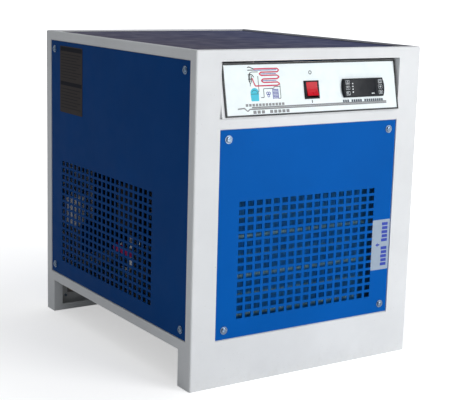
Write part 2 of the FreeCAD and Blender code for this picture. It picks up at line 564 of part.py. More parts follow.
def compressor():
    """Hermetic shell with stubs, on a foot plate with four rubber grommets."""
    c = COMPRESSOR
    seam = 172.0
    shell = spun([(0, SHELL_LOW), (46, SHELL_LOW), (66, SHELL_LOW + 8), (76, SHELL_LOW + 20),
                  (SHELL_R, SHELL_LOW + 36), (SHELL_R, seam), (SHELL_R + 4, seam),
                  (SHELL_R + 4, seam + 5), (SHELL_R, seam + 5), (SHELL_R, SHELL_TOP - 48),
                  (74, SHELL_TOP - 26), (60, SHELL_TOP - 10), (38, SHELL_TOP - 2),
                  (0, SHELL_TOP)], c)
    suction = cylinder(7, SHELL_TOP + 8 - 200, Vector(c.x, SUCTION_Y, 200))
    discharge = cylinder(6, 25, Vector(c.x + SHELL_R - 10, c.y, DISCHARGE_Z), Vector(1, 0, 0))
    shell = fuse([shell, suction, discharge])
    half_x, half_y = 92.0, 68.0
    plate = box(c.x - half_x, c.x + half_x, c.y - half_y, c.y + half_y,
                GROMMET_TOP, GROMMET_TOP + FOOT_PLATE)
    plate = plate.makeFillet(14, [e for e in plate.Edges if e.BoundBox.ZLength > 1])
    bolts, grommets = [], []
    for x, y in foot_places():
        base = Vector(x, y, TRAY_TOP)
        plate = plate.cut(cylinder(BOLT_HOLE_R, 12, Vector(x, y, GROMMET_TOP - 3)))
        grommet = spun([(BOLT_HOLE_R, TRAY_TOP), (13, TRAY_TOP), (13, TRAY_TOP + 6),
                        (10, TRAY_TOP + 8), (10, TRAY_TOP + 11), (12, TRAY_TOP + 13),
                        (12, GROMMET_TOP), (BOLT_HOLE_R, GROMMET_TOP)], base)
        grommets.append(grommet)
        over = GROMMET_TOP + FOOT_PLATE
        bolts.append(fuse([cylinder(BOLT_R, over + 10 - TRAY_FLOOR + 2, Vector(x, y, TRAY_FLOOR - 2)),
                           hexagon(7.5, 4, Vector(x, y, TRAY_FLOOR - 4), Vector(0, 0, 1)),
                           hexagon(7.5, 6, Vector(x, y, over), Vector(0, 0, 1))]))
    cover = box(c.x - SHELL_R - 28, c.x - SHELL_R + 4, c.y - 28, c.y + 28, 118, 166)
    cover = cover.makeFillet(5, [e for e in cover.Edges if e.BoundBox.XMax < c.x - SHELL_R - 1])
    cover = cover.cut(cylinder(SHELL_R + 0.4, 80, Vector(c.x, c.y, 110)))
    return {"compressor_shell": shell, "compressor_base": plate, "terminal_cover": cover,
            "compressor_grommets": Part.makeCompound(grommets),
            "compressor_bolts": Part.makeCompound(bolts)}


# ---- air circuit -------------------------------------------------------------
def exchanger():
    """The insulated exchanger on its stand, and the capacitor on the stand's bracket."""
    x0, x1, y0, y1, z0, z1 = BOX_HX
    block = box(x0, x1, y0, y1, z0, z1)
    block = block.makeFillet(12, block.Edges)
    shelf_z, leg_x, foot = z0 - SHEET, x1 + 2, 14.0
    cut_in, cut_low, cut_high = 30.0, 100.0, 198.0
    c = CAPACITOR
    strap_x, strap_y0, strap_y1 = c.x + CAPACITOR_R, y1 - 24, c.y + 16
    stand = fuse([
        box(x0 - 2, leg_x, y0 - 2, y1 + 2, shelf_z, z0),
        box(leg_x - SHEET, leg_x, y0 - 2, y1 + 2, TRAY_TOP, z0).cut(
            box(leg_x - 9, leg_x + 9, y0 + cut_in, y1 - cut_in, cut_low, cut_high)),
        box(leg_x, leg_x + foot, y0 - 2, y1 + 2, TRAY_TOP, TRAY_TOP + SHEET),
        box(strap_x, strap_x + SHEET, strap_y0, strap_y1, c.z + 8, z0)])
    stand = stand.cut([cylinder(12, 20, Vector(STACK.x, STACK.y, shelf_z - 9)),
                       cylinder(4.5, 20, Vector(leg_x - 10, HOT_GAS.y, HOT_GAS.z),
                                Vector(1, 0, 0))])
    can = cylinder(CAPACITOR_R, CAPACITOR_H, c)
    can = can.makeFillet(2.5, [e for e in can.Edges if e.BoundBox.ZLength < 1])
    top, blade = c.z + CAPACITOR_H, 0.4
    can = can.fuse([box(c.x + dx - blade, c.x + dx + blade, c.y - 3, c.y + 3, top - 1, top + 9)
                    for dx in (-6, 6)])
    return {"heat_exchanger": block, "exchanger_stand": stand, "start_capacitor": can}


def air_connections():
    """Threaded sockets on the rear panel, and the pipes from them to the exchanger."""
    axis = Vector(0, 1, 0)
    fittings, pipes = [], []
    seat = DEPTH - RECESS
    bore_r, bore_l, way_r, shank_in, nut_t = 12.1, 18.0, 9.0, 20.0, 8.0
    pipe_r, pipe_bore_r = 11.0, 9.5
    for z in (INLET_Z, OUTLET_Z):
        end = Vector(AIR_X, DEPTH + FITTING_OUT, z)
        outer = hexagon(20.0, DEPTH + FITTING_OUT - seat, Vector(AIR_X, seat, z), axis)
        shank = cylinder(SOCKET_SHANK_R, shank_in + 2, Vector(AIR_X, seat - shank_in, z), axis)
        nut = hexagon(22.0, nut_t, Vector(AIR_X, seat - PANEL - nut_t, z), axis)
        body = fuse([outer, shank, nut])
        body = body.cut([cylinder(bore_r, bore_l, end - axis * bore_l, axis),
                         cylinder(way_r, 60, end - axis * 60, axis)])
        fittings.append(body)
        start = Vector(AIR_X, BOX_HX[3], z)
        pipes.append(cylinder(pipe_r, seat - shank_in - BOX_HX[3], start, axis).cut(
            cylinder(pipe_bore_r, 80, start - axis, axis)))
    return {"air_fittings": Part.makeCompound(fittings), "air_pipes": Part.makeCompound(pipes)}


def drain():
    """Separator, hand valve and timed solenoid valve, one under the other."""
    s, up, left = STACK, Vector(0, 0, 1), Vector(1, 0, 0)
    shelf_z = BOX_HX[4] - SHEET
    nut_r, nut_h, ball_r, pipe_r = 12.0, 10.0, 12.5, 8.0
    valve_low, valve_top = VALVE_Z - 18, VALVE_Z + 18
    separator = fuse([spun([(0, valve_top), (9, valve_top), (9, valve_top + 5),
                            (30, valve_top + 15), (30, shelf_z - 6), (24, shelf_z),
                            (0, shelf_z)], s),
                      cylinder(11, SHEET, Vector(s.x, s.y, shelf_z))])
    stem_r, boss_x, lever_x = 2.5, s.x - 24, s.x - 36
    valve = fuse([hexagon(nut_r, nut_h, Vector(s.x, s.y, valve_top - nut_h), up),
                  cylinder(pipe_r, valve_top - valve_low, Vector(s.x, s.y, valve_low)),
                  hexagon(nut_r, nut_h, Vector(s.x, s.y, valve_low), up),
                  Part.makeSphere(ball_r, Vector(s.x, s.y, VALVE_Z)),
                  cylinder(6, 20, Vector(boss_x, s.y, VALVE_Z), left)])
    valve = valve.cut(cylinder(stem_r + 0.06, 8, Vector(boss_x - 1, s.y, VALVE_Z), left))
    reach, half_w = 60.0, 6.0
    handle = fuse([cylinder(stem_r, 18, Vector(lever_x, s.y, VALVE_Z), left),
                   cylinder(8, 4, Vector(lever_x - 1, s.y, VALVE_Z), left),
                   box(lever_x - 1, lever_x + 2, s.y - reach, s.y,
                       VALVE_Z - half_w, VALVE_Z + half_w)])
    low, body_h, half = DRAIN_BODY_Z, 30.0, 15.0
    body = fuse([box(s.x - half, s.x + half, s.y - half, s.y + half, low, low + body_h),
                 cylinder(pipe_r, valve_low - low - body_h, Vector(s.x, s.y, low + body_h)),
                 cylinder(7, 12, Vector(s.x, s.y + half - 1, low + 8), Vector(0, 1, 0)),
                 cylinder(9, 20, Vector(s.x + half - 1, s.y, low + half), left),
                 box(s.x - 16, s.x + 16, s.y - 18, s.y + 18, TRAY_TOP, TRAY_TOP + SHEET),
                 box(s.x - 16, s.x + 16, s.y - 3, s.y + 3, TRAY_TOP, low)])
    timer_x, timer_w, timer_half, button_r = s.x + half + 19, 40.0, 22.0, 4.0
    timer = box(timer_x, timer_x + timer_w, s.y - timer_half, s.y + timer_half,
                low - 8, low + 48)
    timer = timer.makeFillet(3, timer.Edges)
    button_at = Vector(timer_x + timer_w / 2, s.y - timer_half, low + 30)
    inward = Vector(0, 1, 0)
    timer = timer.cut(cylinder(button_r + 0.3, 8, button_at - inward * 2, inward))
    button = cylinder(button_r, 6.5, button_at - inward * 3, inward)
    return {"separator": separator, "drain_ball_valve": valve, "drain_valve_handle": handle,
            "drain_solenoid": body, "drain_timer": timer, "drain_test_button": button,
            "drain_tube": drain_tube(Vector(s.x, s.y + half + 11, low + 8))}


def drain_tube(start):
    """Drain tube: back above the tray, down through it, and out to the rear plate."""
    points = [start, Vector(start.x, DRAIN_DROP_Y - 60, start.z),
              Vector(DRAIN_X, DRAIN_DROP_Y, 84), Vector(DRAIN_X, DRAIN_DROP_Y, DRAIN_Z),
              Vector(DRAIN_X, DEPTH - 16, DRAIN_Z)]
    return tube(points, DRAIN_TUBE_R, 14.0)


def rear_outlets():
    """Bulkhead connector for the drain tube, and a cable gland."""
    axis = Vector(0, 1, 0)
    seat = DEPTH - RECESS
    connector = fuse([cylinder(CONNECTOR_R, 34, Vector(DRAIN_X, seat - 20, DRAIN_Z), axis),
                      hexagon(10, 6, Vector(DRAIN_X, seat, DRAIN_Z), axis),
                      hexagon(10, 4, Vector(DRAIN_X, seat - PANEL - 4, DRAIN_Z), axis)])
    connector = connector.cut([
        cylinder(4.1, 14, Vector(DRAIN_X, seat, DRAIN_Z), axis),
        cylinder(3.0, 30, Vector(DRAIN_X, seat - 15, DRAIN_Z), axis),
        cylinder(4.1, 6, Vector(DRAIN_X, seat - 20.5, DRAIN_Z), axis)])
    gland = fuse([cylinder(GLAND_R, 12, Vector(GLAND_X, seat - 10, DRAIN_Z), axis),
                  hexagon(11.8, 5, Vector(GLAND_X, seat, DRAIN_Z), axis),
                  hexagon(11.8, 5, Vector(GLAND_X, seat - PANEL - 5, DRAIN_Z), axis),
                  cylinder(10, 14, Vector(GLAND_X, seat + 5, DRAIN_Z), axis)])
    gland = gland.makeFillet(3, [e for e in gland.Edges if e.BoundBox.YMin > seat + 18.9])
    gland = gland.cut(cylinder(4.5, 40, Vector(GLAND_X, seat - 15, DRAIN_Z), axis))
    return {"drain_outlet": connector, "cable_gland": gland}


# ---- refrigerant lines and electrics -----------------------------------------
def lines():
    """Copper lines, the bypass valve, the filter drier and the capillary tube."""
    runs = run_heights()
    low_run, high_run = runs[0], runs[-1]
    side_x, x1 = 192.0, BOX_HX[1]
    c, g = COMPRESSOR, HOT_GAS
    stub_x = c.x + SHELL_R + 15
    discharge = tube([Vector(stub_x, c.y, DISCHARGE_Z), Vector(side_x, c.y, DISCHARGE_Z),
                      Vector(side_x, c.y, high_run), Vector(side_x, TUBE_Y, high_run),
                      Vector(PORT_X, TUBE_Y, high_run)], 3.2, 12.0)
    suction = tube([Vector(x1, SUCTION_Y, 350), Vector(c.x, SUCTION_Y, 350),
                    Vector(c.x, SUCTION_Y, SHELL_TOP + 8)], 4.8, 24.0)
    drier_y = 182.0
    liquid = tube([Vector(PORT_X, TUBE_Y, low_run), Vector(side_x, TUBE_Y, low_run),
                   Vector(side_x, drier_y, low_run)], 3.2, 12.0)
    hot_y = 190.0
    hot = tube([Vector(side_x - 3.2, hot_y, high_run), Vector(-30, hot_y, high_run),
                Vector(-30, g.y, g.z), Vector(g.x + 14, g.y, g.z)], 3.2, 12.0)
    bypass = tube([Vector(g.x, g.y, g.z + 12), Vector(g.x, g.y, BOX_HX[4] - SHEET)], 3.2, 12.0)
    drier = spun([(0, 0), (4, 0), (4, 8), (12, 18), (12, 98), (4, 108), (4, 116), (0, 116)],
                 Vector(0, 0, 0))
    drier.Placement = FreeCAD.Placement(Vector(side_x, drier_y, low_run),
                                        FreeCAD.Rotation(Vector(0, 0, 1), Vector(0, 1, 0)))
    capillary = tube([Vector(side_x, drier_y + 116, low_run), Vector(side_x, 495, low_run),
                      Vector(side_x, 495, 300), Vector(-30, 495, 300), Vector(-30, 440, 300),
                      Vector(x1, 440, 300)], 1.6, 12.0)
    valve = fuse([hexagon(11, 22, Vector(g.x, g.y, g.z - 10), Vector(0, 0, 1)),
                  cylinder(6, 14, Vector(g.x, g.y, g.z), Vector(1, 0, 0)),
                  cylinder(9, 18, Vector(g.x, g.y, g.z - 28)),
                  cylinder(14, 5, Vector(g.x, g.y, g.z - 15))])
    return {"refrigerant_lines": Part.makeCompound([discharge, suction, liquid, hot, bypass]),
            "hot_gas_valve": valve, "filter_drier": drier, "capillary_tube": capillary}


def electrics():
    """Shelf on the bulkhead's top edge, with a contactor and a row of terminals."""
    y0 = BULKHEAD_Y + SHEET
    x0, x1, shelf_back, turn_down = -40.0, 170.0, 180.0, 20.0
    shelf = fuse([box(x0, x1, BULKHEAD_Y, shelf_back, BULKHEAD_TOP, BULKHEAD_TOP + SHEET),
                  box(x0, x1, y0, y0 + SHEET, BULKHEAD_TOP - turn_down, BULKHEAD_TOP)])
    top = BULKHEAD_TOP + SHEET
    contactor = fuse([box(60, 105, 95, 170, top, top + 50),
                      box(64, 101, 104, 161, top + 50, top + 68)])
    first_x, pitch, thick, tall = -30.0, 12.0, 11.0, 30.0
    blocks = []
    for k in range(6):
        x = first_x + pitch * k
        block = box(x, x + thick, 110, 150, top, top + tall)
        crown = [e for e in block.Edges if e.BoundBox.ZMin > top + tall - 1]
        blocks.append(block.makeFillet(1.5, crown))
    return {"electrical_shelf": shelf, "contactor": contactor,
            "terminal_block": Part.makeCompound(blocks)}


# ---- export ------------------------------------------------------------------
def build():
    parts = {"base_tray": base_tray()}
    for group in (frame_members, panels, fasteners, control_panel, rocker_switch, indicator,
                  condenser, fan, compressor, exchanger, air_connections, drain, rear_outlets,
                  lines, electrics):
        parts.update(group())
    return parts


def main():
    os.makedirs("parts", exist_ok=True)
    parts = build()
    front = min(shape.BoundBox.YMin for shape in parts.values())
    back = max(shape.BoundBox.YMax for shape in parts.values())
    for name, shape in parts.items():
        moved = shape.copy()
        moved.translate(Vector(0, -(front + back) / 2, 0))
        moved.exportStep("parts/%s.step" % name)


main()
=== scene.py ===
import math

import bmesh
import bpy
from mathutils import Matrix, Vector

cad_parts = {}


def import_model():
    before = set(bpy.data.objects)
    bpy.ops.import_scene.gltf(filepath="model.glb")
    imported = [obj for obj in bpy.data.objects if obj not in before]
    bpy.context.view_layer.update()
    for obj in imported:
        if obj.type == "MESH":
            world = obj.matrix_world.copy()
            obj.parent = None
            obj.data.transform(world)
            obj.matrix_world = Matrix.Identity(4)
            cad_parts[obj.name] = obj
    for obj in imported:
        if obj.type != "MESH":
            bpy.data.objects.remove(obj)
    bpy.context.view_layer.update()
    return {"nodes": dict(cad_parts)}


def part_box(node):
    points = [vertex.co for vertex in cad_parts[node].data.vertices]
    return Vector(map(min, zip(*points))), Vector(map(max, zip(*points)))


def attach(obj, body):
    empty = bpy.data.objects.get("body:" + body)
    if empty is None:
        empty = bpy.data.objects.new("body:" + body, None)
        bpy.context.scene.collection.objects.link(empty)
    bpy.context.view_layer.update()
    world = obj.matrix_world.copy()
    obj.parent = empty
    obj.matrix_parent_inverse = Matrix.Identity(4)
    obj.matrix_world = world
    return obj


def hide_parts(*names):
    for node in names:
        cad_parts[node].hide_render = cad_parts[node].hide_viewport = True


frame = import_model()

MM = 0.001
CABINET = "cabinet"
nodes = frame["nodes"]
X, Y, Z = Vector((1, 0, 0)), Vector((0, 1, 0)), Vector((0, 0, 1))


# ---- shader building ----------------------------------------------------------
class Shader:
    """A node material under construction. Most methods add a node and return its output."""

    def __init__(self, name, roughness=0.5, metallic=0.0, specular=0.5):
        self.material = bpy.data.materials.new(name)
        self.material.use_nodes = True
        self.tree = self.material.node_tree
        self.bsdf = self.tree.nodes["Principled BSDF"]
        self.bsdf.inputs["Roughness"].default_value = roughness
        self.bsdf.inputs["Metallic"].default_value = metallic
        self.bsdf.inputs["Specular IOR Level"].default_value = specular
        self.place = self.add("ShaderNodeTexCoord").outputs["Object"]

    def add(self, kind, **values):
        node = self.tree.nodes.new(kind)
        for name, value in values.items():
            setattr(node, name, value)
        return node

    def feed(self, socket, value):
        if isinstance(value, bpy.types.NodeSocket):
            self.tree.links.new(value, socket)
        elif isinstance(value, tuple) and len(value) == 3 and socket.type == "RGBA":
            socket.default_value = (*value, 1)
        else:
            socket.default_value = value

    def stretched(self, x, y, z):
        node = self.add("ShaderNodeMapping")
        self.feed(node.inputs["Vector"], self.place)
        node.inputs["Scale"].default_value = (x, y, z)
        return node.outputs["Vector"]

    def noise(self, scale, detail=2.0, roughness=0.5, place=None):
        node = self.add("ShaderNodeTexNoise")
        self.feed(node.inputs["Vector"], place or self.place)
        node.inputs["Scale"].default_value = scale
        node.inputs["Detail"].default_value = detail
        node.inputs["Roughness"].default_value = roughness
        return node.outputs["Fac"]

    def cells(self, scale, output="Distance"):
        node = self.add("ShaderNodeTexVoronoi")
        self.feed(node.inputs["Vector"], self.place)
        node.inputs["Scale"].default_value = scale
        return node.outputs[output]

    def remap(self, value, low, high, to_low=0.0, to_high=1.0):
        node = self.add("ShaderNodeMapRange")
        for name, v in (("Value", value), ("From Min", low), ("From Max", high),
                        ("To Min", to_low), ("To Max", to_high)):
            self.feed(node.inputs[name], v)
        return node.outputs["Result"]

    def math(self, operation, a, b=0.0):
        node = self.add("ShaderNodeMath", operation=operation)
        self.feed(node.inputs[0], a)
        self.feed(node.inputs[1], b)
        return node.outputs[0]

    def mix(self, factor, a, b):
        node = self.add("ShaderNodeMix", data_type="RGBA")
        self.feed(node.inputs[0], factor)
        self.feed(node.inputs[6], a)
        self.feed(node.inputs[7], b)
        return node.outputs[2]

    def axis(self, name):
        node = self.add("ShaderNodeSeparateXYZ")
        self.feed(node.inputs[0], self.place)
        return node.outputs[name]

    def finish(self, colour, roughness=None, bump=None, strength=0.2, distance=0.0005):
        self.feed(self.bsdf.inputs["Base Color"], colour)
        if roughness is not None:
            self.feed(self.bsdf.inputs["Roughness"], roughness)
        if bump is not None:
            node = self.add("ShaderNodeBump")
            node.inputs["Strength"].default_value = strength
            node.inputs["Distance"].default_value = distance
            self.feed(node.inputs["Height"], bump)
            self.feed(self.bsdf.inputs["Normal"], node.outputs["Normal"])
        return self.material


def tint(colour, k):
    return tuple(min(1.0, c * k) for c in colour)


def powder_coat(name, colour, grime=(0.34, 0.31, 0.27), grime_amount=0.11, roughness=0.42,
                specular=0.35):
    """Satin powder coat: orange peel, slow tone changes, grime towards the floor."""
    s = Shader(name, roughness, 0.0, specular)
    broad = s.noise(5.0, 4, 0.6)
    tone = s.mix(s.remap(broad, 0.35, 0.7), tint(colour, 0.93), tint(colour, 1.04))
    low = s.remap(s.axis("Z"), 0.0, 0.035, grime_amount, 0.0)
    patch = s.remap(s.noise(90.0, 6, 0.7), 0.45, 0.70)
    tone = s.mix(s.math("MULTIPLY", low, patch), tone, grime)
    specks = s.remap(s.noise(420.0, 1), 0.76, 0.80, 0.0, 0.35)
    tone = s.mix(specks, tone, grime)
    rough = s.remap(s.noise(38.0, 3), 0.3, 0.7, roughness - 0.05, roughness + 0.08)
    return s.finish(tone, rough, s.noise(750.0, 2, 0.4), 0.12, 0.0003)


def dusty_shaded_coat(name, colour, dust):
    """Powder coat on an upward face under a dark film, partly dust and partly painted shade: more
    film and greyer towards the left, bluer and darker towards the right.
    """
    s = Shader(name, 0.5, 0.0, 0.10)
    film = s.remap(s.noise(7.0, 5, 0.6, s.stretched(1.0, 0.35, 1.0)), 0.3, 0.7, 0.50, 0.80)
    # more of the dark grey film towards the left, less towards the right
    film = s.math("ADD", film, s.remap(s.axis("X"), -0.21, 0.15, 0.38, -0.22))
    grains = s.remap(s.noise(900.0, 2), 0.55, 0.75, 0.0, 0.2)
    tone = s.mix(s.math("ADD", film, grains), colour, dust)
    rough = s.remap(s.noise(30.0, 4), 0.3, 0.7, 0.42, 0.60)
    return s.finish(tone, rough, s.noise(750.0, 2, 0.4), 0.12, 0.0003)


def moulded(name, colour, roughness=0.45, grain=900.0, strength=0.15, specular=0.5):
    """Moulded plastic with a fine spark-eroded grain."""
    s = Shader(name, roughness, 0.0, specular)
    tone = s.mix(s.remap(s.noise(25.0, 3), 0.3, 0.7), tint(colour, 0.85), tint(colour, 1.15))
    rough = s.remap(s.noise(60.0, 3), 0.3, 0.7, roughness - 0.06, roughness + 0.08)
    return s.finish(tone, rough, s.noise(grain, 3, 0.6), strength, 0.0002)


def metal(name, colour, roughness, amount):
    """Bare metal with fine marks and this amount of brown stains."""
    s = Shader(name, roughness, 1.0)
    marks = s.noise(300.0, 4, 0.6)
    tone = s.mix(s.remap(marks, 0.3, 0.7), tint(colour, 0.82), tint(colour, 1.08))
    spots = s.remap(s.noise(48.0, 5, 0.65), 0.52, 0.75, 0.0, amount)
    tone = s.mix(spots, tone, (0.2, 0.16, 0.12))
    rough = s.remap(marks, 0.3, 0.7, roughness - 0.06, roughness + 0.14)
    return s.finish(tone, rough, marks, 0.1, 0.0002)


def screw_metal(name):
    """Zinc plate tinted cold blue, a painted reflection of the blue panels round the screws."""
    s = Shader(name, 0.2, 1.0)
    marks = s.noise(300.0, 4, 0.6)
    # painted reflection: the blue-grey tones stand in for the blue panels mirrored in the zinc
    tone = s.mix(s.remap(marks, 0.3, 0.7), (0.20, 0.29, 0.42), (0.40, 0.49, 0.60))
    return s.finish(tone, s.remap(marks, 0.3, 0.7, 0.12, 0.26), marks, 0.1, 0.0002)


def galvanised(name):
    """Zinc-coated sheet with its crystalline spangle."""
    s = Shader(name, 0.42, 0.9)
    cells = s.cells(95.0, output="Color")
    bright = s.add("ShaderNodeRGBToBW")
    s.feed(bright.inputs[0], cells)
    grey = s.mix(s.remap(bright.outputs[0], 0.2, 0.8), (0.42, 0.43, 0.44), (0.62, 0.63, 0.64))
    dust = s.remap(s.noise(20.0, 4), 0.45, 0.75, 0.0, 0.45)
    tone = s.mix(dust, grey, (0.25, 0.23, 0.21))
    return s.finish(tone, s.remap(bright.outputs[0], 0.2, 0.8, 0.32, 0.5),
                    s.noise(200.0, 2), 0.06, 0.0002)


def copper(name, colour=(0.50, 0.24, 0.13), oxide=(0.16, 0.15, 0.09), metallic=0.85):
    """Drawn copper tube gone dull, with olive oxide in patches."""
    s = Shader(name, 0.38, metallic)
    patches = s.remap(s.noise(30.0, 5, 0.65), 0.38, 0.66, 0.1, 0.85)
    tone = s.mix(patches, colour, oxide)
    marks = s.noise(260.0, 3)
    return s.finish(tone, s.remap(patches, 0.0, 1.0, 0.32, 0.62), marks, 0.12, 0.0002)


def foam(name):
    """Closed-cell insulation foam: matte, finely pitted."""
    s = Shader(name, 0.9, 0.0, 0.25)
    pits = s.cells(650.0)
    tone = s.mix(s.remap(s.noise(14.0, 4), 0.3, 0.7), (0.018, 0.018, 0.019), (0.045, 0.044, 0.043))
    return s.finish(tone, 0.9, pits, 0.35, 0.0006)


def printed(name, colour, roughness=0.5, specular=0.3):
    """Screen-print ink: nearly even, with faint mottling."""
    s = Shader(name, roughness, 0.0, specular)
    tone = s.mix(s.remap(s.noise(60.0, 4), 0.35, 0.7), tint(colour, 0.97), tint(colour, 1.03))
    return s.finish(tone, roughness, s.noise(1200.0, 2), 0.02, 0.0001)


def threaded(name, colour, roughness=0.28):
    """Machined brass whose lathe marks run round the Y axis."""
    s = Shader(name, roughness, 1.0)
    rings = s.noise(1.0, 3, 0.6, s.stretched(20.0, 2200.0, 20.0))
    tarnish = s.remap(s.noise(40.0, 5, 0.6), 0.45, 0.75, 0.0, 0.55)
    tone = s.mix(tarnish, colour, tint(colour, 0.42))
    return s.finish(tone, s.remap(tarnish, 0.0, 0.55, roughness, 0.5), rings, 0.25, 0.0002)


WHITE = (0.77, 0.785, 0.80)
BLUE = (0.0001, 0.101, 0.43)
white_paint = powder_coat("white_powder_coat", WHITE)
blue_paint = powder_coat("blue_powder_coat", BLUE, (0.02, 0.05, 0.10), 0.35, 0.40, 0.04)
# painted shade: the side panels have the front's blue, darkened to 0.54 of it to stand in for the
# shade on the sides
shaded_side_blue = powder_coat("side_blue_painted_shade", tint(BLUE, 0.54), (0.02, 0.05, 0.10), 0.35, 0.40,
                        0.03)
# painted shade: the lid's blue and its dark film, which is partly dust, are darker than the front
# to stand in for the top in shade
lid_shaded_paint = dusty_shaded_coat("lid_blue_dust_and_painted_shade", (0.004, 0.026, 0.16), (0.042, 0.036, 0.088))
service_paint = powder_coat("service_plate_grey", (0.36, 0.34, 0.38))
zinc = galvanised("galvanised_sheet")
screw_zinc = screw_metal("zinc_screw_painted_blue_reflection")
black_plastic = moulded("black_plastic", (0.008, 0.011, 0.015), 0.46, specular=0.15)
key_plastic = moulded("key_plastic", (0.014, 0.019, 0.027), 0.40, specular=0.22)
rubber = moulded("black_rubber", (0.018, 0.018, 0.018), 0.75, 500.0, 0.3)
trim_black = moulded("trim_black", (0.020, 0.024, 0.026), 0.55, 600.0, 0.2)
red_plastic = moulded("rocker_red", (0.56, 0.003, 0.016), 0.30, 500.0, 0.04, 0.20)
red_vinyl = moulded("handle_magenta_vinyl", (0.62, 0.006, 0.14), 0.40, 300.0, 0.2, 0.2)
white_plastic = moulded("capacitor_white", (0.90, 0.93, 0.96), 0.35)
beige_plastic = moulded("terminal_beige", (0.55, 0.50, 0.38), 0.5)
grey_plastic = moulded("button_grey", (0.35, 0.35, 0.36), 0.45)
green_tube = moulded("drain_tube_green", (0.008, 0.075, 0.045), 0.3, 250.0, 0.1)
copper_tube = copper("copper_tube")
condenser_copper = copper("condenser_copper", (0.27, 0.40, 0.30), (0.12, 0.27, 0.26), 0.15)
bare_steel = metal("steel_pipe", (0.52, 0.52, 0.52), 0.35, 0.4)
brass = threaded("machined_brass", (0.78, 0.56, 0.24))
nickel = threaded("nickel_plate", (0.78, 0.78, 0.76), 0.24)
pressed_aluminium = metal("pressed_aluminium", (0.66, 0.67, 0.69), 0.32, 0.35)
motor_paint = powder_coat("motor_paint", (0.055, 0.060, 0.066), roughness=0.5)
black_enamel = powder_coat("compressor_enamel", (0.012, 0.012, 0.013), roughness=0.25)
foam_black = foam("insulation_foam")
tape = moulded("insulation_tape", (0.030, 0.030, 0.032), 0.22, 120.0, 0.2)
overlay_white = printed("overlay_film", (0.86, 0.94, 0.96), 0.38)
display_dark = moulded("display_window", (0.002, 0.004, 0.008), 0.10, 400.0, 0.02, 0.10)

FINISHES = {
    white_paint: ("front_frame", "rear_frame", "top_rails", "bottom_rails", "control_carrier"),
    blue_paint: ("front_panel", "rear_panel"),
    shaded_side_blue: ("left_panel", "right_panel"),
    lid_shaded_paint: ("top_panel",),
    service_paint: ("rear_service_plate",),
    zinc: ("base_tray", "fan_shroud", "condenser_end_plates", "exchanger_stand",
           "electrical_shelf", "compressor_base"),
    screw_zinc: ("panel_screws", "panel_washers", "compressor_bolts"),
    trim_black: ("overlay_trim",),
    overlay_white: ("control_overlay",),
    black_plastic: ("switch_housing", "indicator_housing", "terminal_cover", "contactor",
                    "cable_gland", "drain_timer"),
    key_plastic: tuple(n for n in nodes if n.startswith("key_")),
    red_plastic: ("switch_rocker",),
    display_dark: ("indicator_window",),
    condenser_copper: ("condenser_tubes",),
    copper_tube: ("refrigerant_lines", "capillary_tube", "filter_drier"),
    motor_paint: ("fan_motor", "fan_bracket"),
    black_enamel: ("compressor_shell", "separator"),
    rubber: ("compressor_grommets",),
    foam_black: ("heat_exchanger",),
    white_plastic: ("start_capacitor",),
    brass: ("air_fittings", "drain_outlet", "hot_gas_valve"),
    nickel: ("drain_ball_valve", "drain_solenoid"),
    bare_steel: ("air_pipes",),
    red_vinyl: ("drain_valve_handle",),
    grey_plastic: ("drain_test_button",),
    green_tube: ("drain_tube",),
    beige_plastic: ("terminal_block",),
}
for material, names in FINISHES.items():
    for name in names:
        for slot in nodes[name].material_slots:
            slot.material = material


# ---- mesh building ------------------------------------------------------------
def add_piece(name, data, material, body=CABINET, matrix=None):
    """A visible piece that rides on a body."""
    piece = bpy.data.objects.new(name, data)
    bpy.context.scene.collection.objects.link(piece)
    data.materials.append(material)
    if matrix is not None:
        piece.matrix_world = matrix
    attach(piece, body)
    return piece


def mesh_from(bm, name, smooth=False):
    data = bpy.data.meshes.new(name)
    bmesh.ops.recalc_face_normals(bm, faces=bm.faces)
    bm.to_mesh(data)
    bm.free()
    if smooth:
        data.polygons.foreach_set("use_smooth", [True] * len(data.polygons))
    return data


def add_block(bm, low, high):
    """A closed box between two corners."""
    size = Vector(high) - Vector(low)
    middle = (Vector(low) + Vector(high)) / 2
    bmesh.ops.create_cube(bm, size=1.0,
                          matrix=Matrix.Translation(middle) @ Matrix.Diagonal((*size, 1)))


def arc(centre, radius, start, end, steps):
    """Points (u, v) of an arc, angles in degrees."""
    return [(centre[0] + radius * math.cos(math.radians(start + (end - start) * k / steps)),
             centre[1] + radius * math.sin(math.radians(start + (end - start) * k / steps)))
            for k in range(steps + 1)]


def round_rectangle(u0, v0, u1, v1, r, steps=5):
    """Outline of a rectangle with rounded corners, anticlockwise."""
    corners = ((u1 - r, v0 + r, -90), (u1 - r, v1 - r, 0), (u0 + r, v1 - r, 90),
               (u0 + r, v0 + r, 180))
    return [p for u, v, a in corners for p in arc((u, v), r, a, a + 90, steps)]


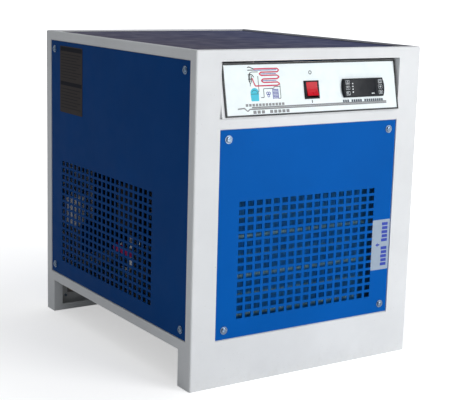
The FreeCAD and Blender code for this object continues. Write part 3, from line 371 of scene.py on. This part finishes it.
class Plane:
    """A flat face of the object: an origin, two directions along it and its outward normal."""

    def __init__(self, origin, u, v):
        self.origin, self.u, self.v = origin, u, v
        self.n = u.cross(v)

    def matrix(self, lift=0.0, flat=1.0):
        n = self.n * flat
        return Matrix.Translation(self.origin + self.n * lift) @ Matrix((
            (self.u.x, self.v.x, n.x, 0), (self.u.y, self.v.y, n.y, 0),
            (self.u.z, self.v.z, n.z, 0), (0, 0, 0, 1)))

    def plate(self, name, outline, thick, material, lift=0.0, bevel=0.0):
        """A thin closed plate of any outline, lying on the plane."""
        bm = bmesh.new()
        face = bm.faces.new([bm.verts.new((u, v, 0)) for u, v in outline])
        raised = bmesh.ops.extrude_face_region(bm, geom=[face])["geom"]
        bmesh.ops.translate(bm, vec=(0, 0, thick),
                            verts=[g for g in raised if isinstance(g, bmesh.types.BMVert)])
        if bevel:
            rim = [e for e in bm.edges if all(v.co.z > thick / 2 for v in e.verts)]
            bmesh.ops.bevel(bm, geom=rim, offset=bevel, segments=2, affect="EDGES")
        return add_piece(name, mesh_from(bm, name), material, matrix=self.matrix(lift))

    def bars(self, name, rectangles, material, thick=0.06 * MM, lift=0.0):
        """Small printed blocks, one mesh: each is (u0, v0, u1, v1)."""
        bm = bmesh.new()
        for u0, v0, u1, v1 in rectangles:
            add_block(bm, (u0, v0, 0), (u1, v1, thick))
        return add_piece(name, mesh_from(bm, name), material, matrix=self.matrix(lift))

    def strokes(self, name, lines, width, material, lift=0.0, flat=0.16, body=CABINET,
                closed=False):
        """Printed lines of one width, as one flattened curve object."""
        curve = bpy.data.curves.new(name, "CURVE")
        curve.dimensions = "3D"
        curve.bevel_depth = width / 2
        curve.bevel_resolution = 2
        curve.use_fill_caps = True
        for points in lines:
            spline = curve.splines.new("POLY")
            spline.points.add(len(points) - 1)
            for point, (u, v) in zip(spline.points, points):
                point.co = (u, v, 0, 1)
            spline.use_cyclic_u = closed
        return add_piece(name, curve, material, body, self.matrix(lift, flat))


def rounded(points, radius, steps=4):
    """A polyline (u, v) with its corners rounded."""
    out = [points[0]]
    for before, corner, after in zip(points, points[1:], points[2:]):
        b, c, a = Vector(before), Vector(corner), Vector(after)
        p = c + (b - c).normalized() * radius
        q = c + (a - c).normalized() * radius
        for k in range(steps + 1):
            t = k / steps
            out.append(tuple(p * (1 - t) ** 2 + c * 2 * t * (1 - t) + q * t * t))
    out.append(points[-1])
    return out


def extent(node, direction):
    """Lowest and highest reach of a node along a direction."""
    reach = [v.co.dot(direction) for v in nodes[node].data.vertices]
    return min(reach), max(reach)


# ---- where the object's faces are -----------------------------------------------
def largest_normal(node):
    return max(nodes[node].data.polygons, key=lambda p: (p.area, -p.normal.y)).normal.copy()


slope_n = largest_normal("control_overlay")
if slope_n.y > 0:
    slope_n.negate()
slope_v = slope_n.cross(X).normalized()
overlay_s, overlay_t = extent("control_overlay", X), extent("control_overlay", slope_v)
SLOPE_W = overlay_s[1] - overlay_s[0]
SLOPE_H = overlay_t[1] - overlay_t[0]
overlay_front = extent("control_overlay", slope_n)[1]
slope = Plane(X * overlay_s[0] + slope_v * overlay_t[0] + slope_n * overlay_front, X, slope_v)


def on_slope(node):
    """A node's low and high (u, v) on the overlay, and how far it stands out."""
    s = [reach - overlay_s[0] for reach in extent(node, X)]
    t = [reach - overlay_t[0] for reach in extent(node, slope_v)]
    return s[0], t[0], s[1], t[1], extent(node, slope_n)[1] - overlay_front


front_low, front_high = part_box("front_panel")
left_low, left_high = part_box("left_panel")
rear_low, rear_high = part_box("rear_panel")
front_face = Plane(front_low, X, Z)
left_face = Plane(Vector((left_low.x, left_high.y, left_low.z)), -Y, Z)
rear_face = Plane(Vector((rear_high.x, rear_high.y, rear_low.z)), -X, Z)

INK = {
    "black": printed("ink_black", (0.020, 0.022, 0.024)),
    "grey": printed("ink_grey", (0.15, 0.17, 0.17)),
    "dark": printed("ink_dark", (0.060, 0.080, 0.105)),
    "red": printed("ink_red", (0.62, 0.03, 0.09)),
    "cyan": printed("ink_cyan", (0.05, 0.55, 0.72)),
    "violet": printed("ink_violet", (0.10, 0.11, 0.40)),
    "white": printed("ink_white", (0.85, 0.90, 0.92)),
    "blue": printed("ink_blue", (0.03, 0.06, 0.42)),
    "silver": printed("ink_silver", (0.26, 0.27, 0.28)),
}


def filled(words):
    """For each place in a line of blocks, whether it has one: words of these lengths."""
    places = []
    for length in words:
        places += [True] * length + [False]
    return places[:-1]


def word_bars(u0, v0, u1, v1, words, gap):
    """Plain blocks in the rhythm of a line of print, with gap as a share of the pitch."""
    places = filled(words)
    pitch = (u1 - u0) / len(places)
    return [(u0 + pitch * k, v0, u0 + pitch * (k + 1 - gap), v1)
            for k, block in enumerate(places) if block]


# ---- prints on the control panel -------------------------------------------------
def flow_diagram():
    """A wordless schematic: exchanger serpentine, separator, compressor, condenser, fan."""
    mm = MM
    left, top = 42.0 * mm, SLOPE_H - 3.2 * mm
    wide, tall = 1.46, 1.15
    bold, heavy, medium, light, thin = (w * mm for w in (2.1, 1.4, 1.2, 1.1, 0.7))
    ink_t = 0.07 * mm

    def at(u, v):
        """A point of the drawing, counted right and down from its top left corner."""
        return (left + u * wide * mm, top - v * tall * mm)

    def path(*points):
        return rounded([at(u, v) for u, v in points], 1.1 * mm)

    serpentine = path((9, 3), (39, 3), (41, 5.2), (39, 7.6), (18, 7.6), (15.5, 9.8), (18, 12),
                      (38, 12), (41, 14.4), (38, 16.8), (20, 16.8), (17.5, 19), (20, 21.4),
                      (38, 21.4), (41, 23.6), (38, 25.8), (9.5, 25.8), (8, 22), (6, 15))
    slope.strokes("print_serpentine", [serpentine], bold, INK["red"])
    core = [[at(u0, v), at(u1, v)] for u0, u1, v in ((9, 38, 4.9), (18, 37, 9.9), (19, 37, 19.1))]
    slope.strokes("print_serpentine_core", core, medium, INK["violet"])
    valves = [path((1, 1.0), (3, 0.2), (6, 1.6), (9, 3.0)), path((1, 4.4), (9, 4.4)),
              path((4, 8.5), (2, 12), (2, 19), (4, 23)), path((1, 10.5), (6, 10.5), (8.5, 14)),
              path((5.2, 12), (5.2, 21)), path((1, 16.5), (5, 16.5)), path((3.2, 9), (3.2, 23))]
    slope.strokes("print_valves", valves, heavy, INK["black"])
    leads = [path((3, 8.5), (6, 7.0), (14, 7.0)), path((13.5, 12.5), (13.5, 33), (11, 35.5)),
             path((15.5, 41.5), (19.5, 41.5), (19.5, 29.8), (33, 29.8), (33, 27.5), (41, 27.5)),
             path((41, 24), (41, 43.5), (38.5, 43.5)), path((3, 23), (3, 26))]
    slope.strokes("print_leads", leads, 1.3 * mm, INK["grey"])
    # The compressor is a can with a domed top and a flat foot.
    (can_u, foot_v), half = at(7.8, 46.0), 7.8 * mm
    can = arc((can_u, foot_v + 12.6 * mm), half, 8, 172, 12)
    can += arc((can_u, foot_v + 4.2 * mm), half, 200, 340, 12)
    can = [(u, max(v, foot_v)) for u, v in can]
    slope.plate("print_compressor", can, ink_t, INK["cyan"])
    cap = arc((can_u, foot_v + 11.4 * mm), 5.6 * mm, 20, 160, 8)
    slope.strokes("print_compressor_cap", [cap, path((2.6, 36.4), (13, 36.4))], thin, INK["black"],
                  0.06 * mm)
    near, far = 31, 38
    fins = [[at(near, 31.4 + 1.9 * k), at(far, 31.4 + 1.9 * k)] for k in range(7)]
    slope.strokes("print_condenser", fins, heavy, INK["violet"])
    sides = [[at(u, 30.4), at(u, 44)] for u in (near, far)]
    slope.strokes("print_condenser_sides", sides, light, INK["violet"])
    fan_u, fan_v = at(25.4, 37.2)
    blades = [arc((fan_u + 2.2 * mm * math.cos(a), fan_v + 2.6 * mm * math.sin(a)), 1.9 * mm,
                  0, 360, 10) for a in (0.5, 2.6, 4.7)]
    slope.strokes("print_fan", blades, medium, INK["violet"])


def control_prints():
    """The flow diagram, the switch's circle and stroke, rows of blocks and a long ribbon."""
    mm = MM
    flow_diagram()
    u0, v0, u1, v1, _ = on_slope("switch_housing")
    middle = (u0 + u1) / 2
    circle = arc((middle, v1 + 13.0 * mm), 2.5 * mm, 0, 360, 28)
    stroke = [(middle, v0 - 6.4 * mm), (middle, v0 - 2.0 * mm)]
    slope.strokes("mark_off", [circle], 1.5 * mm, INK["grey"])
    slope.strokes("mark_on", [stroke], 1.9 * mm, INK["grey"])
    u0, v0, u1, v1, _ = on_slope("indicator_housing")
    margin = 1 * mm
    under = word_bars(u0 + margin, v0 - 8.6 * mm, u1 - margin, v0 - 3.4 * mm, (3, 5, 9), 0.2)
    slope.bars("caption_indicator", under, INK["dark"])
    first = word_bars(35 * mm, 12.8 * mm, 109 * mm, 16.8 * mm, (12,), 0.26)
    second = word_bars(48 * mm, 1.4 * mm, 118 * mm, 6.2 * mm, (3, 5), 0.26)
    slope.bars("caption_machine", first + second, INK["silver"])
    right = SLOPE_W - 22 * mm
    ribbon = [[(20 * mm, 9.6 * mm), (32 * mm, 10.4 * mm), (38 * mm, 5.6 * mm), (43 * mm, 9.0 * mm)],
              [(46 * mm, 11.0 * mm), (right, 11.4 * mm)], [(43 * mm, 8.4 * mm), (right, 9.0 * mm)]]
    slope.strokes("print_ribbon", ribbon, 2.2 * mm, INK["silver"])


def key_marks():
    """A rim and an outline mark on each of the six keys, riding on its own key."""
    mm = MM
    w, h = 2.2 * mm, 1.7 * mm
    inset, flat = 0.7 * mm, 0.12
    shapes = {
        "key_left_top": [[(-w, -h), (0, h), (w, -h), (-w, -h)]],
        "key_left_middle": [[(-w, h), (0, -h), (w, h), (-w, h)]],
        "key_left_bottom": [[(-w, -h), (-w, h), (0, h), (0, -h)], [(1.2 * mm, -h), (w, -h)]],
        "key_right_top": [[(-w, -h), (-w, h), (w, h), (w, -h), (-w, -h)]],
        "key_right_middle": [[(-w, 0), (w, 0)], [(0, -h), (0, h)]],
        "key_right_bottom": [arc((0, 0), 1.7 * mm, 120, 420, 16), [(0, 0.2 * mm), (0, 2.2 * mm)]],
    }
    for node, lines in shapes.items():
        u0, v0, u1, v1, out = on_slope(node)
        cu, cv = (u0 + u1) / 2, (v0 + v1) / 2
        moved = [[(cu + u, cv + v) for u, v in line] for line in lines]
        edge = round_rectangle(u0 + inset, v0 + inset, u1 - inset, v1 - inset, 0.8 * mm)
        slope.strokes("rim_" + node, [edge], 0.4 * mm, INK["white"], out, flat, node, closed=True)
        slope.strokes("mark_" + node, moved, 0.7 * mm, INK["white"], out, flat, node)


def display():
    """Unlit seven-segment digits and small printed legends on the indicator's window."""
    mm = MM
    ghost = printed("display_ghost", (0.004, 0.007, 0.012), 0.2, 0.10)
    u0, v0, u1, v1, out = on_slope("indicator_window")
    segments = []
    w, h, t, thick = 9.0 * mm, 15.0 * mm, 1.3 * mm, 0.04 * mm
    low, high = (v0 + v1 - h) / 2, (v0 + v1 + h) / 2
    below, above = (low + high - t) / 2, (low + high + t) / 2
    for k in range(3):
        a = u0 + (10 + 12.4 * k) * mm
        b = a + w - t
        segments += [(a + t, v, b, v + t) for v in (low, high - t, below)]
        for u in (a, b):
            segments += [(u, low + t, u + t, below), (u, above, u + t, high - t)]
    slope.bars("display_digits", segments, ghost, thick, out)
    legend = [(u0 + 1.6 * mm, v0 + (4.4 + 4.6 * k) * mm, u0 + 3.8 * mm, v0 + (6.2 + 4.6 * k) * mm)
              for k in range(4)]
    legend += [(u1 - a * mm, v0 + 1.4 * mm, u1 - b * mm, v0 + 3.0 * mm)
               for a, b in ((10, 7), (6.2, 4.4))]
    slope.bars("display_legend", legend, INK["white"], thick, out)


# ---- stickers and plates ----------------------------------------------------------
STICKER_T, INK_T = 0.18 * MM, 0.05 * MM


def arrow_outline(u, v, tip, neck, tail, head_half, stem_half):
    """An arrow along u: where its tip, neck and tail are from (u, v), and its half widths."""
    return [(u + tip, v), (u + neck, v + head_half), (u + neck, v + stem_half),
            (u + tail, v + stem_half), (u + tail, v - stem_half), (u + neck, v - stem_half),
            (u + neck, v - head_half)]


def front_sticker():
    """A silver sticker beside the grille: a column of plain blocks and an arrow to the grille."""
    mm = MM
    width, height, end = 37.6 * mm, 87.0 * mm, 5 * mm
    u1 = front_high.x - front_low.x - 0.6 * mm
    u0, v0 = u1 - width, 75.6 * mm
    v1 = v0 + height
    film = printed("sticker_silver", (0.34, 0.42, 0.52), 0.34)
    front_face.plate("front_sticker", round_rectangle(u0, v0, u1, v1, 1.2 * mm), STICKER_T, film)
    places = filled((5, 5))
    pitch = (height - 2 * end) / len(places)
    blocks = []
    for k, block in enumerate(places):
        if block:
            top = v1 - end - pitch * k
            shrink = 0.8 * mm * (k % 2)
            blocks.append((u1 - 17.4 * mm + shrink, top - pitch * 0.74, u1 - 4.6 * mm, top))
    front_face.bars("front_sticker_blocks", blocks, INK["blue"], INK_T, STICKER_T)
    arrow = arrow_outline(u0 + 13 * mm, (v0 + v1) / 2, -5 * mm, 0, 4 * mm, 3.4 * mm, 1.3 * mm)
    front_face.plate("front_sticker_arrow", arrow, INK_T, INK["blue"], STICKER_T)


def side_plate():
    """A brown-grey plate with two dark headings and fine ruled lines, near the rear."""
    mm = MM
    width, height, thick, margin = 91.0 * mm, 119.4 * mm, 0.5 * mm, 5 * mm
    u0 = 36.8 * mm
    u1 = u0 + width
    v1 = left_high.z - left_low.z - 7.4 * mm
    v0 = v1 - height
    plate_tone = printed("side_plate_bronze", (0.050, 0.042, 0.040), 0.5, 0.08)
    line_ink = printed("side_plate_lines", (0.022, 0.021, 0.024), 0.5, 0.08)
    left_face.plate("side_plate", round_rectangle(u0, v0, u1, v1, 2.0 * mm), thick, plate_tone,
                    bevel=0.15 * mm)
    blocks = [(u0 + 2 * mm, v1 - low * mm, u1 - 2 * mm, v1 - high * mm)
              for low, high in ((9.0, 1.5), (70, 63))]
    heading_ink = printed("side_plate_heading", (0.006, 0.007, 0.014), 0.5, 0.08)
    left_face.bars("side_plate_headings", blocks, heading_ink, INK_T, thick)
    rules = [(u0 + margin, v1 - (15 + 5.2 * k) * mm, u1 - (5 + 9 * (k % 3)) * mm,
              v1 - (13.4 + 5.2 * k) * mm) for k in range(9)]
    rules += [(u0 + margin, v1 - (77 + 5.6 * k) * mm, u1 - (7 + 12 * (k % 2)) * mm,
               v1 - (75.2 + 5.6 * k) * mm) for k in range(7)]
    left_face.bars("side_plate_rules", rules, line_ink, 0.04 * mm, thick)


def rear_arrows():
    """Flow arrows beside the two air sockets: in at the top one, out at the lower one."""
    mm = MM
    low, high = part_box("air_fittings")
    u = rear_high.x - (low.x + high.x) / 2 - 62 * mm
    half_hexagon = (high.x - low.x) / 2 * 0.87
    half_w, half_h = 17 * mm, 11 * mm
    film = printed("rear_sticker_white", (0.70, 0.72, 0.73), 0.35)
    for k, (z, way) in enumerate(((high.z - half_hexagon, 1), (low.z + half_hexagon, -1))):
        v = z - rear_low.z
        outline = round_rectangle(u - half_w, v - half_h, u + half_w, v + half_h, 2 * mm)
        rear_face.plate("rear_sticker_%d" % k, outline, STICKER_T, film)
        arrow = arrow_outline(u, v, 11 * mm * way, 3 * mm * way, -11 * mm * way, 6 * mm, 2.4 * mm)
        rear_face.plate("rear_arrow_%d" % k, arrow, INK_T, INK["blue"], STICKER_T)


# ---- inside --------------------------------------------------------------------
def lathe(name, profile, centre, material, body, steps=48):
    """A closed turned piece about an axis along Y; the profile is (radius, y)."""
    bm = bmesh.new()
    rings = []
    for k in range(steps):
        a = 2 * math.pi * k / steps
        rings.append([bm.verts.new((centre.x + r * math.cos(a), y, centre.z + r * math.sin(a)))
                      for r, y in profile])
    for k in range(steps):
        here, there = rings[k], rings[(k + 1) % steps]
        for i in range(len(profile) - 1):
            bm.faces.new((here[i], here[i + 1], there[i + 1], there[i]))
    bmesh.ops.remove_doubles(bm, verts=bm.verts, dist=1e-6)
    bmesh.ops.dissolve_degenerate(bm, edges=bm.edges, dist=1e-7)
    return add_piece(name, mesh_from(bm, name), material, body)


def condenser_fins():
    """Thin blue-coated fins with some dust, in place of the solid block that holds their room."""
    low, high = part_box("condenser_fins")
    pitch, thick = 2.8 * MM, 0.45 * MM
    bm = bmesh.new()
    count = int((high.x - low.x) / pitch)
    for k in range(count + 1):
        x = low.x + (high.x - low.x - thick) * k / count
        add_block(bm, (x, low.y, low.z), (x + thick, high.y, high.z))
    s = Shader("fin_blue_coated", 0.6, 0.2)
    dust = s.remap(s.noise(60.0, 4), 0.35, 0.7, 0.1, 0.6)
    tone = s.mix(dust, (0.03, 0.40, 0.90), (0.06, 0.22, 0.38))
    fin_metal = s.finish(tone, 0.62, s.noise(500.0, 2), 0.1, 0.0002)
    piece = add_piece("condenser_fin_pack", mesh_from(bm, "condenser_fin_pack"), fin_metal)
    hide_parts("condenser_fins")


def fan_blades():
    """Five cambered blades on a pressed hub and a shaft."""
    low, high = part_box("fan_blades")
    motor_low, motor_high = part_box("fan_motor")
    centre = Vector((0, 0, (motor_low.z + motor_high.z) / 2))
    tip = min(high.x, high.z - centre.z) - 0.5 * MM
    hub_r, hub_front, hub_back = 26 * MM, low.y + 3 * MM, low.y + 25 * MM
    middle = (hub_front + hub_back) / 2
    root = hub_r - 3 * MM
    bm = bmesh.new()
    blades, rows, columns = 5, 8, 10
    for blade in range(blades):
        start = math.radians(360 / blades * blade)
        grid = []
        for i in range(rows + 1):
            outward = i / rows
            r = root + (tip - root) * outward
            half = math.radians(25 - 3 * outward)
            pitch = math.tan(math.radians(30 - 9 * outward))
            line = []
            for j in range(columns + 1):
                t = j / columns * 2 - 1
                angle = start + half * t
                lean = pitch * r * half * t * 0.55
                camber = (1 - t * t) * 3.0 * MM
                line.append(bm.verts.new((r * math.cos(angle), middle + lean + camber,
                                          centre.z + r * math.sin(angle))))
            grid.append(line)
        for i in range(rows):
            for j in range(columns):
                bm.faces.new((grid[i][j], grid[i + 1][j], grid[i + 1][j + 1], grid[i][j + 1]))
    data = mesh_from(bm, "fan_blade_set", smooth=True)
    blade_set = add_piece("fan_blade_set", data, pressed_aluminium, "fan")
    sheet = blade_set.modifiers.new("thickness", "SOLIDIFY")
    sheet.thickness = 1.1 * MM
    sheet.offset = 0
    # The hub is a dished cup round a boss, on its shaft.
    profile = [(0, 0), (8, 0), (10, 1.5), (22, 1.5), (26, 5), (26, 22), (24, 22), (24, 7), (8, 7),
               (8, 16), (4, 16), (4, 43), (0, 43)]
    hub = lathe("fan_hub", [(r * MM, low.y + y * MM) for r, y in profile], centre, bare_steel,
                "fan")
    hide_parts("fan_blades")
    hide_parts("fan_blades")


def band(name, node, z0, z1, proud, sunk, radius, steps, material):
    """A closed band round a node's sides: proud of them outside, sunk into them inside."""
    low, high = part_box(node)
    rings = [round_rectangle(low.x - out, low.y - out, high.x + out, high.y + out, radius, steps)
             for out in (proud, -sunk)]
    bm = bmesh.new()
    loops = [[bm.verts.new((u, v, z)) for u, v in ring] for ring in rings for z in (z0, z1)]
    n = len(rings[0])
    for a, b in ((0, 1), (1, 3), (3, 2), (2, 0)):
        for k in range(n):
            bm.faces.new((loops[a][k], loops[a][(k + 1) % n], loops[b][(k + 1) % n], loops[b][k]))
    return add_piece(name, mesh_from(bm, name), material)


def insulation_tape():
    """Three turns of tape right round the insulated heat exchanger."""
    low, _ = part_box("heat_exchanger")
    first, pitch, width, thick = 30 * MM, 62 * MM, 24 * MM, 0.7 * MM
    for k in range(3):
        z = low.z + first + pitch * k
        band("insulation_tape_%d" % k, "heat_exchanger", z, z + width, thick, thick, 12 * MM, 5,
             tape)


def wire(name, points, radius, material):
    """An insulated lead inside the cabinet, on one smooth curve."""
    curve = bpy.data.curves.new(name, "CURVE")
    curve.dimensions = "3D"
    curve.bevel_depth = radius
    curve.bevel_resolution = 3
    curve.resolution_u = 10
    curve.use_fill_caps = True
    spline = curve.splines.new("NURBS")
    spline.points.add(len(points) - 1)
    for point, place in zip(spline.points, points):
        point.co = (*place, 1)
    spline.order_u = 3
    spline.use_endpoint_u = True
    return add_piece(name, curve, material)


def wiring():
    """Leads from the switch, the indicator and the fan motor to the terminals on the shelf."""
    colours = {"brown": (0.12, 0.045, 0.02), "blue": (0.02, 0.10, 0.40),
               "black": (0.02, 0.02, 0.02)}
    lead_colours = {name: moulded("lead_" + name, colour, 0.4, 300.0, 0.05)
                    for name, colour in colours.items()}
    mm = MM
    low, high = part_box("switch_housing")
    back = Vector(((low.x + high.x) / 2, high.y - 4 * mm, (low.z + high.z) / 2))
    t_low, t_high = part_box("terminal_block")
    for k, (colour, dx) in enumerate((("brown", -5.5 * mm), ("blue", 5.5 * mm))):
        end = Vector((t_low.x + (6 + 12 * k) * mm, t_low.y + 2 * mm, t_high.z - 6 * mm))
        start = back + X * dx
        route = [start, start + Y * 12 * mm, start + Y * 26 * mm - Z * 8 * mm,
                 end - Y * 16 * mm + Z * 6 * mm, end - Y * 6 * mm + Z * 2 * mm, end]
        wire("lead_switch_" + colour, route, 1.3 * mm, lead_colours[colour])
    low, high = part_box("indicator_housing")
    start = Vector(((low.x + high.x) / 2, high.y - 1 * mm, (low.z + high.z) / 2))
    end = Vector((t_low.x + 42 * mm, t_low.y + 2 * mm, t_high.z - 6 * mm))
    route = [start, start + Y * 10 * mm, start + Y * 18 * mm - Z * 8 * mm - X * 12 * mm,
             end - Y * 8 * mm + Z * 4 * mm + X * 10 * mm, end]
    wire("lead_indicator", route, 2.0 * mm, lead_colours["black"])
    _, m_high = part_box("fan_motor")
    s_low, s_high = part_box("electrical_shelf")
    start = Vector((20 * mm, m_high.y - 20 * mm, m_high.z - 2 * mm))
    end = Vector((t_low.x + 30 * mm, t_high.y - 2 * mm, t_high.z - 8 * mm))
    route = [start, start + Z * 20 * mm + Y * 10 * mm, start + Z * 60 * mm + Y * 26 * mm,
             Vector((end.x, s_high.y + 16 * mm, s_low.z - 20 * mm)),
             Vector((end.x, s_high.y + 14 * mm, s_high.z + 12 * mm)), end + Y * 12 * mm, end]
    wire("lead_fan", route, 2.4 * mm, lead_colours["black"])


def louvre_shade_sheets():
    """Black foam sheets flat against the inside of the two louvre groups: painted shade for the
    shadowed floor seen through the louvres.
    """
    margin, thick, gap, radius = 10 * MM, 3.0 * MM, 0.1 * MM, 4 * MM
    hoods = [v.co for v in nodes["rear_panel"].data.vertices if v.co.y > rear_high.y - 0.5 * MM]
    for name, side in (("left", -1), ("right", 1)):
        group = [v for v in hoods if v.x * side > 0]
        x0, x1 = min(v.x for v in group) - margin, max(v.x for v in group) + margin
        z0, z1 = min(v.z for v in group) - margin, max(v.z for v in group) + margin
        back = Plane(Vector((x1, rear_low.y - thick - gap, z0)), -X, Z)
        # painted shade: a dark sheet where the shadowed floor behind would show
        back.plate("louvre_shade_sheet_" + name, round_rectangle(0, 0, x1 - x0, z1 - z0, radius),
                   thick, foam_black, bevel=0.4 * MM)


def lid_seal_and_gap_shade():
    """A thin dark sealing strip round the lid, down in the gap beside the rim; besides sealing, it
    is painted shade, a dark strip for the shadow line in the gap.
    """
    lid_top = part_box("top_panel")[1].z
    # painted shade: the dark strip fills the gap where the shadow line lies
    band("lid_seal_and_gap_shade", "top_panel", lid_top, lid_top + 0.5 * MM, 0.9 * MM, 0.8 * MM, 1.5 * MM, 3,
         rubber)


control_prints()
key_marks()
display()
front_sticker()
side_plate()
rear_arrows()
condenser_fins()
fan_blades()
insulation_tape()
wiring()
louvre_shade_sheets()
lid_seal_and_gap_shade()


# ---- stage, lights and camera ---------------------------------------------------
def floor():
    """A plain pale floor, which goes over into the white backdrop away from the object."""
    bm = bmesh.new()
    bmesh.ops.create_grid(bm, x_segments=1, y_segments=1, size=40.0)
    data = mesh_from(bm, "floor")
    piece = bpy.data.objects.new("floor", data)
    bpy.context.scene.collection.objects.link(piece)
    s = Shader("floor_pale", 0.85, 0.0, 0.1)
    tone = s.mix(s.noise(1.5, 3), (0.88, 0.88, 0.88), (0.92, 0.92, 0.92))
    material = s.finish(tone)
    away = s.add("ShaderNodeVectorMath", operation="LENGTH")
    s.feed(away.inputs[0], s.place)
    near, far = 0.45, 2.0
    glow = s.remap(away.outputs["Value"], near, far, 0.50, 1.0)
    path = s.add("ShaderNodeLightPath")
    s.feed(s.bsdf.inputs["Emission Strength"],
           s.math("MULTIPLY", glow, path.outputs["Is Camera Ray"]))
    s.bsdf.inputs["Emission Color"].default_value = (1, 1, 1, 1)
    data.materials.append(material)


def area_light(name, place, target, size, power):
    """A soft rectangular lamp pointed at a target."""
    light = bpy.data.lights.new(name, "AREA")
    light.shape = "RECTANGLE"
    light.size, light.size_y = size
    light.energy = power
    lamp = bpy.data.objects.new(name, light)
    lamp.location = place
    lamp.rotation_euler = (Vector(target) - Vector(place)).to_track_quat("-Z", "Y").to_euler()
    bpy.context.scene.collection.objects.link(lamp)


def world(strengths, colour, backdrop):
    """Soft surrounding light, weaker from the left, and a pale backdrop for the camera."""
    scene_world = bpy.data.worlds.new("studio")
    scene_world.use_nodes = True
    tree = scene_world.node_tree
    around = tree.nodes["Background"]
    around.inputs["Color"].default_value = (*colour, 1)
    direction = tree.nodes.new("ShaderNodeTexCoord")
    parts = tree.nodes.new("ShaderNodeSeparateXYZ")
    sideways = tree.nodes.new("ShaderNodeMapRange")
    for name, value in zip(("From Min", "From Max", "To Min", "To Max"), (-0.9, 0.3, *strengths)):
        sideways.inputs[name].default_value = value
    tree.links.new(direction.outputs["Generated"], parts.inputs[0])
    tree.links.new(parts.outputs["X"], sideways.inputs["Value"])
    tree.links.new(sideways.outputs["Result"], around.inputs["Strength"])
    seen = tree.nodes.new("ShaderNodeBackground")
    seen.inputs["Color"].default_value = (*backdrop, 1)
    path = tree.nodes.new("ShaderNodeLightPath")
    mix = tree.nodes.new("ShaderNodeMixShader")
    tree.links.new(path.outputs["Is Camera Ray"], mix.inputs[0])
    tree.links.new(around.outputs[0], mix.inputs[1])
    tree.links.new(seen.outputs[0], mix.inputs[2])
    tree.links.new(mix.outputs[0], tree.nodes["World Output"].inputs["Surface"])
    bpy.context.scene.world = scene_world


def camera(place, yaw, pitch, roll, lens):
    """Yaw turns right from +Y, pitch looks down, roll leans the picture; degrees."""
    yaw, pitch, roll = (math.radians(a) for a in (yaw, pitch, roll))
    look = Vector((math.sin(yaw) * math.cos(pitch), math.cos(yaw) * math.cos(pitch),
                   -math.sin(pitch)))
    right = Vector((math.cos(yaw), -math.sin(yaw), 0))
    up = right.cross(look)
    side = right * math.cos(roll) + up * math.sin(roll)
    top = up * math.cos(roll) - right * math.sin(roll)
    data = bpy.data.cameras.new("camera")
    data.lens = lens
    data.sensor_width = 36.0
    piece = bpy.data.objects.new("camera", data)
    bpy.context.scene.collection.objects.link(piece)
    piece.matrix_world = Matrix.Translation(place) @ Matrix((
        (side.x, top.x, -look.x, 0), (side.y, top.y, -look.y, 0), (side.z, top.z, -look.z, 0),
        (0, 0, 0, 1)))
    bpy.context.scene.camera = piece


floor()
world((0.26, 0.50), (0.96, 0.98, 1.0), (1.0, 1.0, 1.0))
area_light("key", (1.3, -2.8, 1.1), (0, 0, 0.25), (1.6, 1.6), 52.0)
area_light("overhead", (0.2, 0.4, 3.0), (0, 0, 0.3), (3.0, 3.0), 8.0)
camera(Vector((-1.1028, -1.7067, 0.6427)), 33.242, 11.268, 1.525, 91.43)
bpy.context.scene.view_settings.view_transform = "Standard"
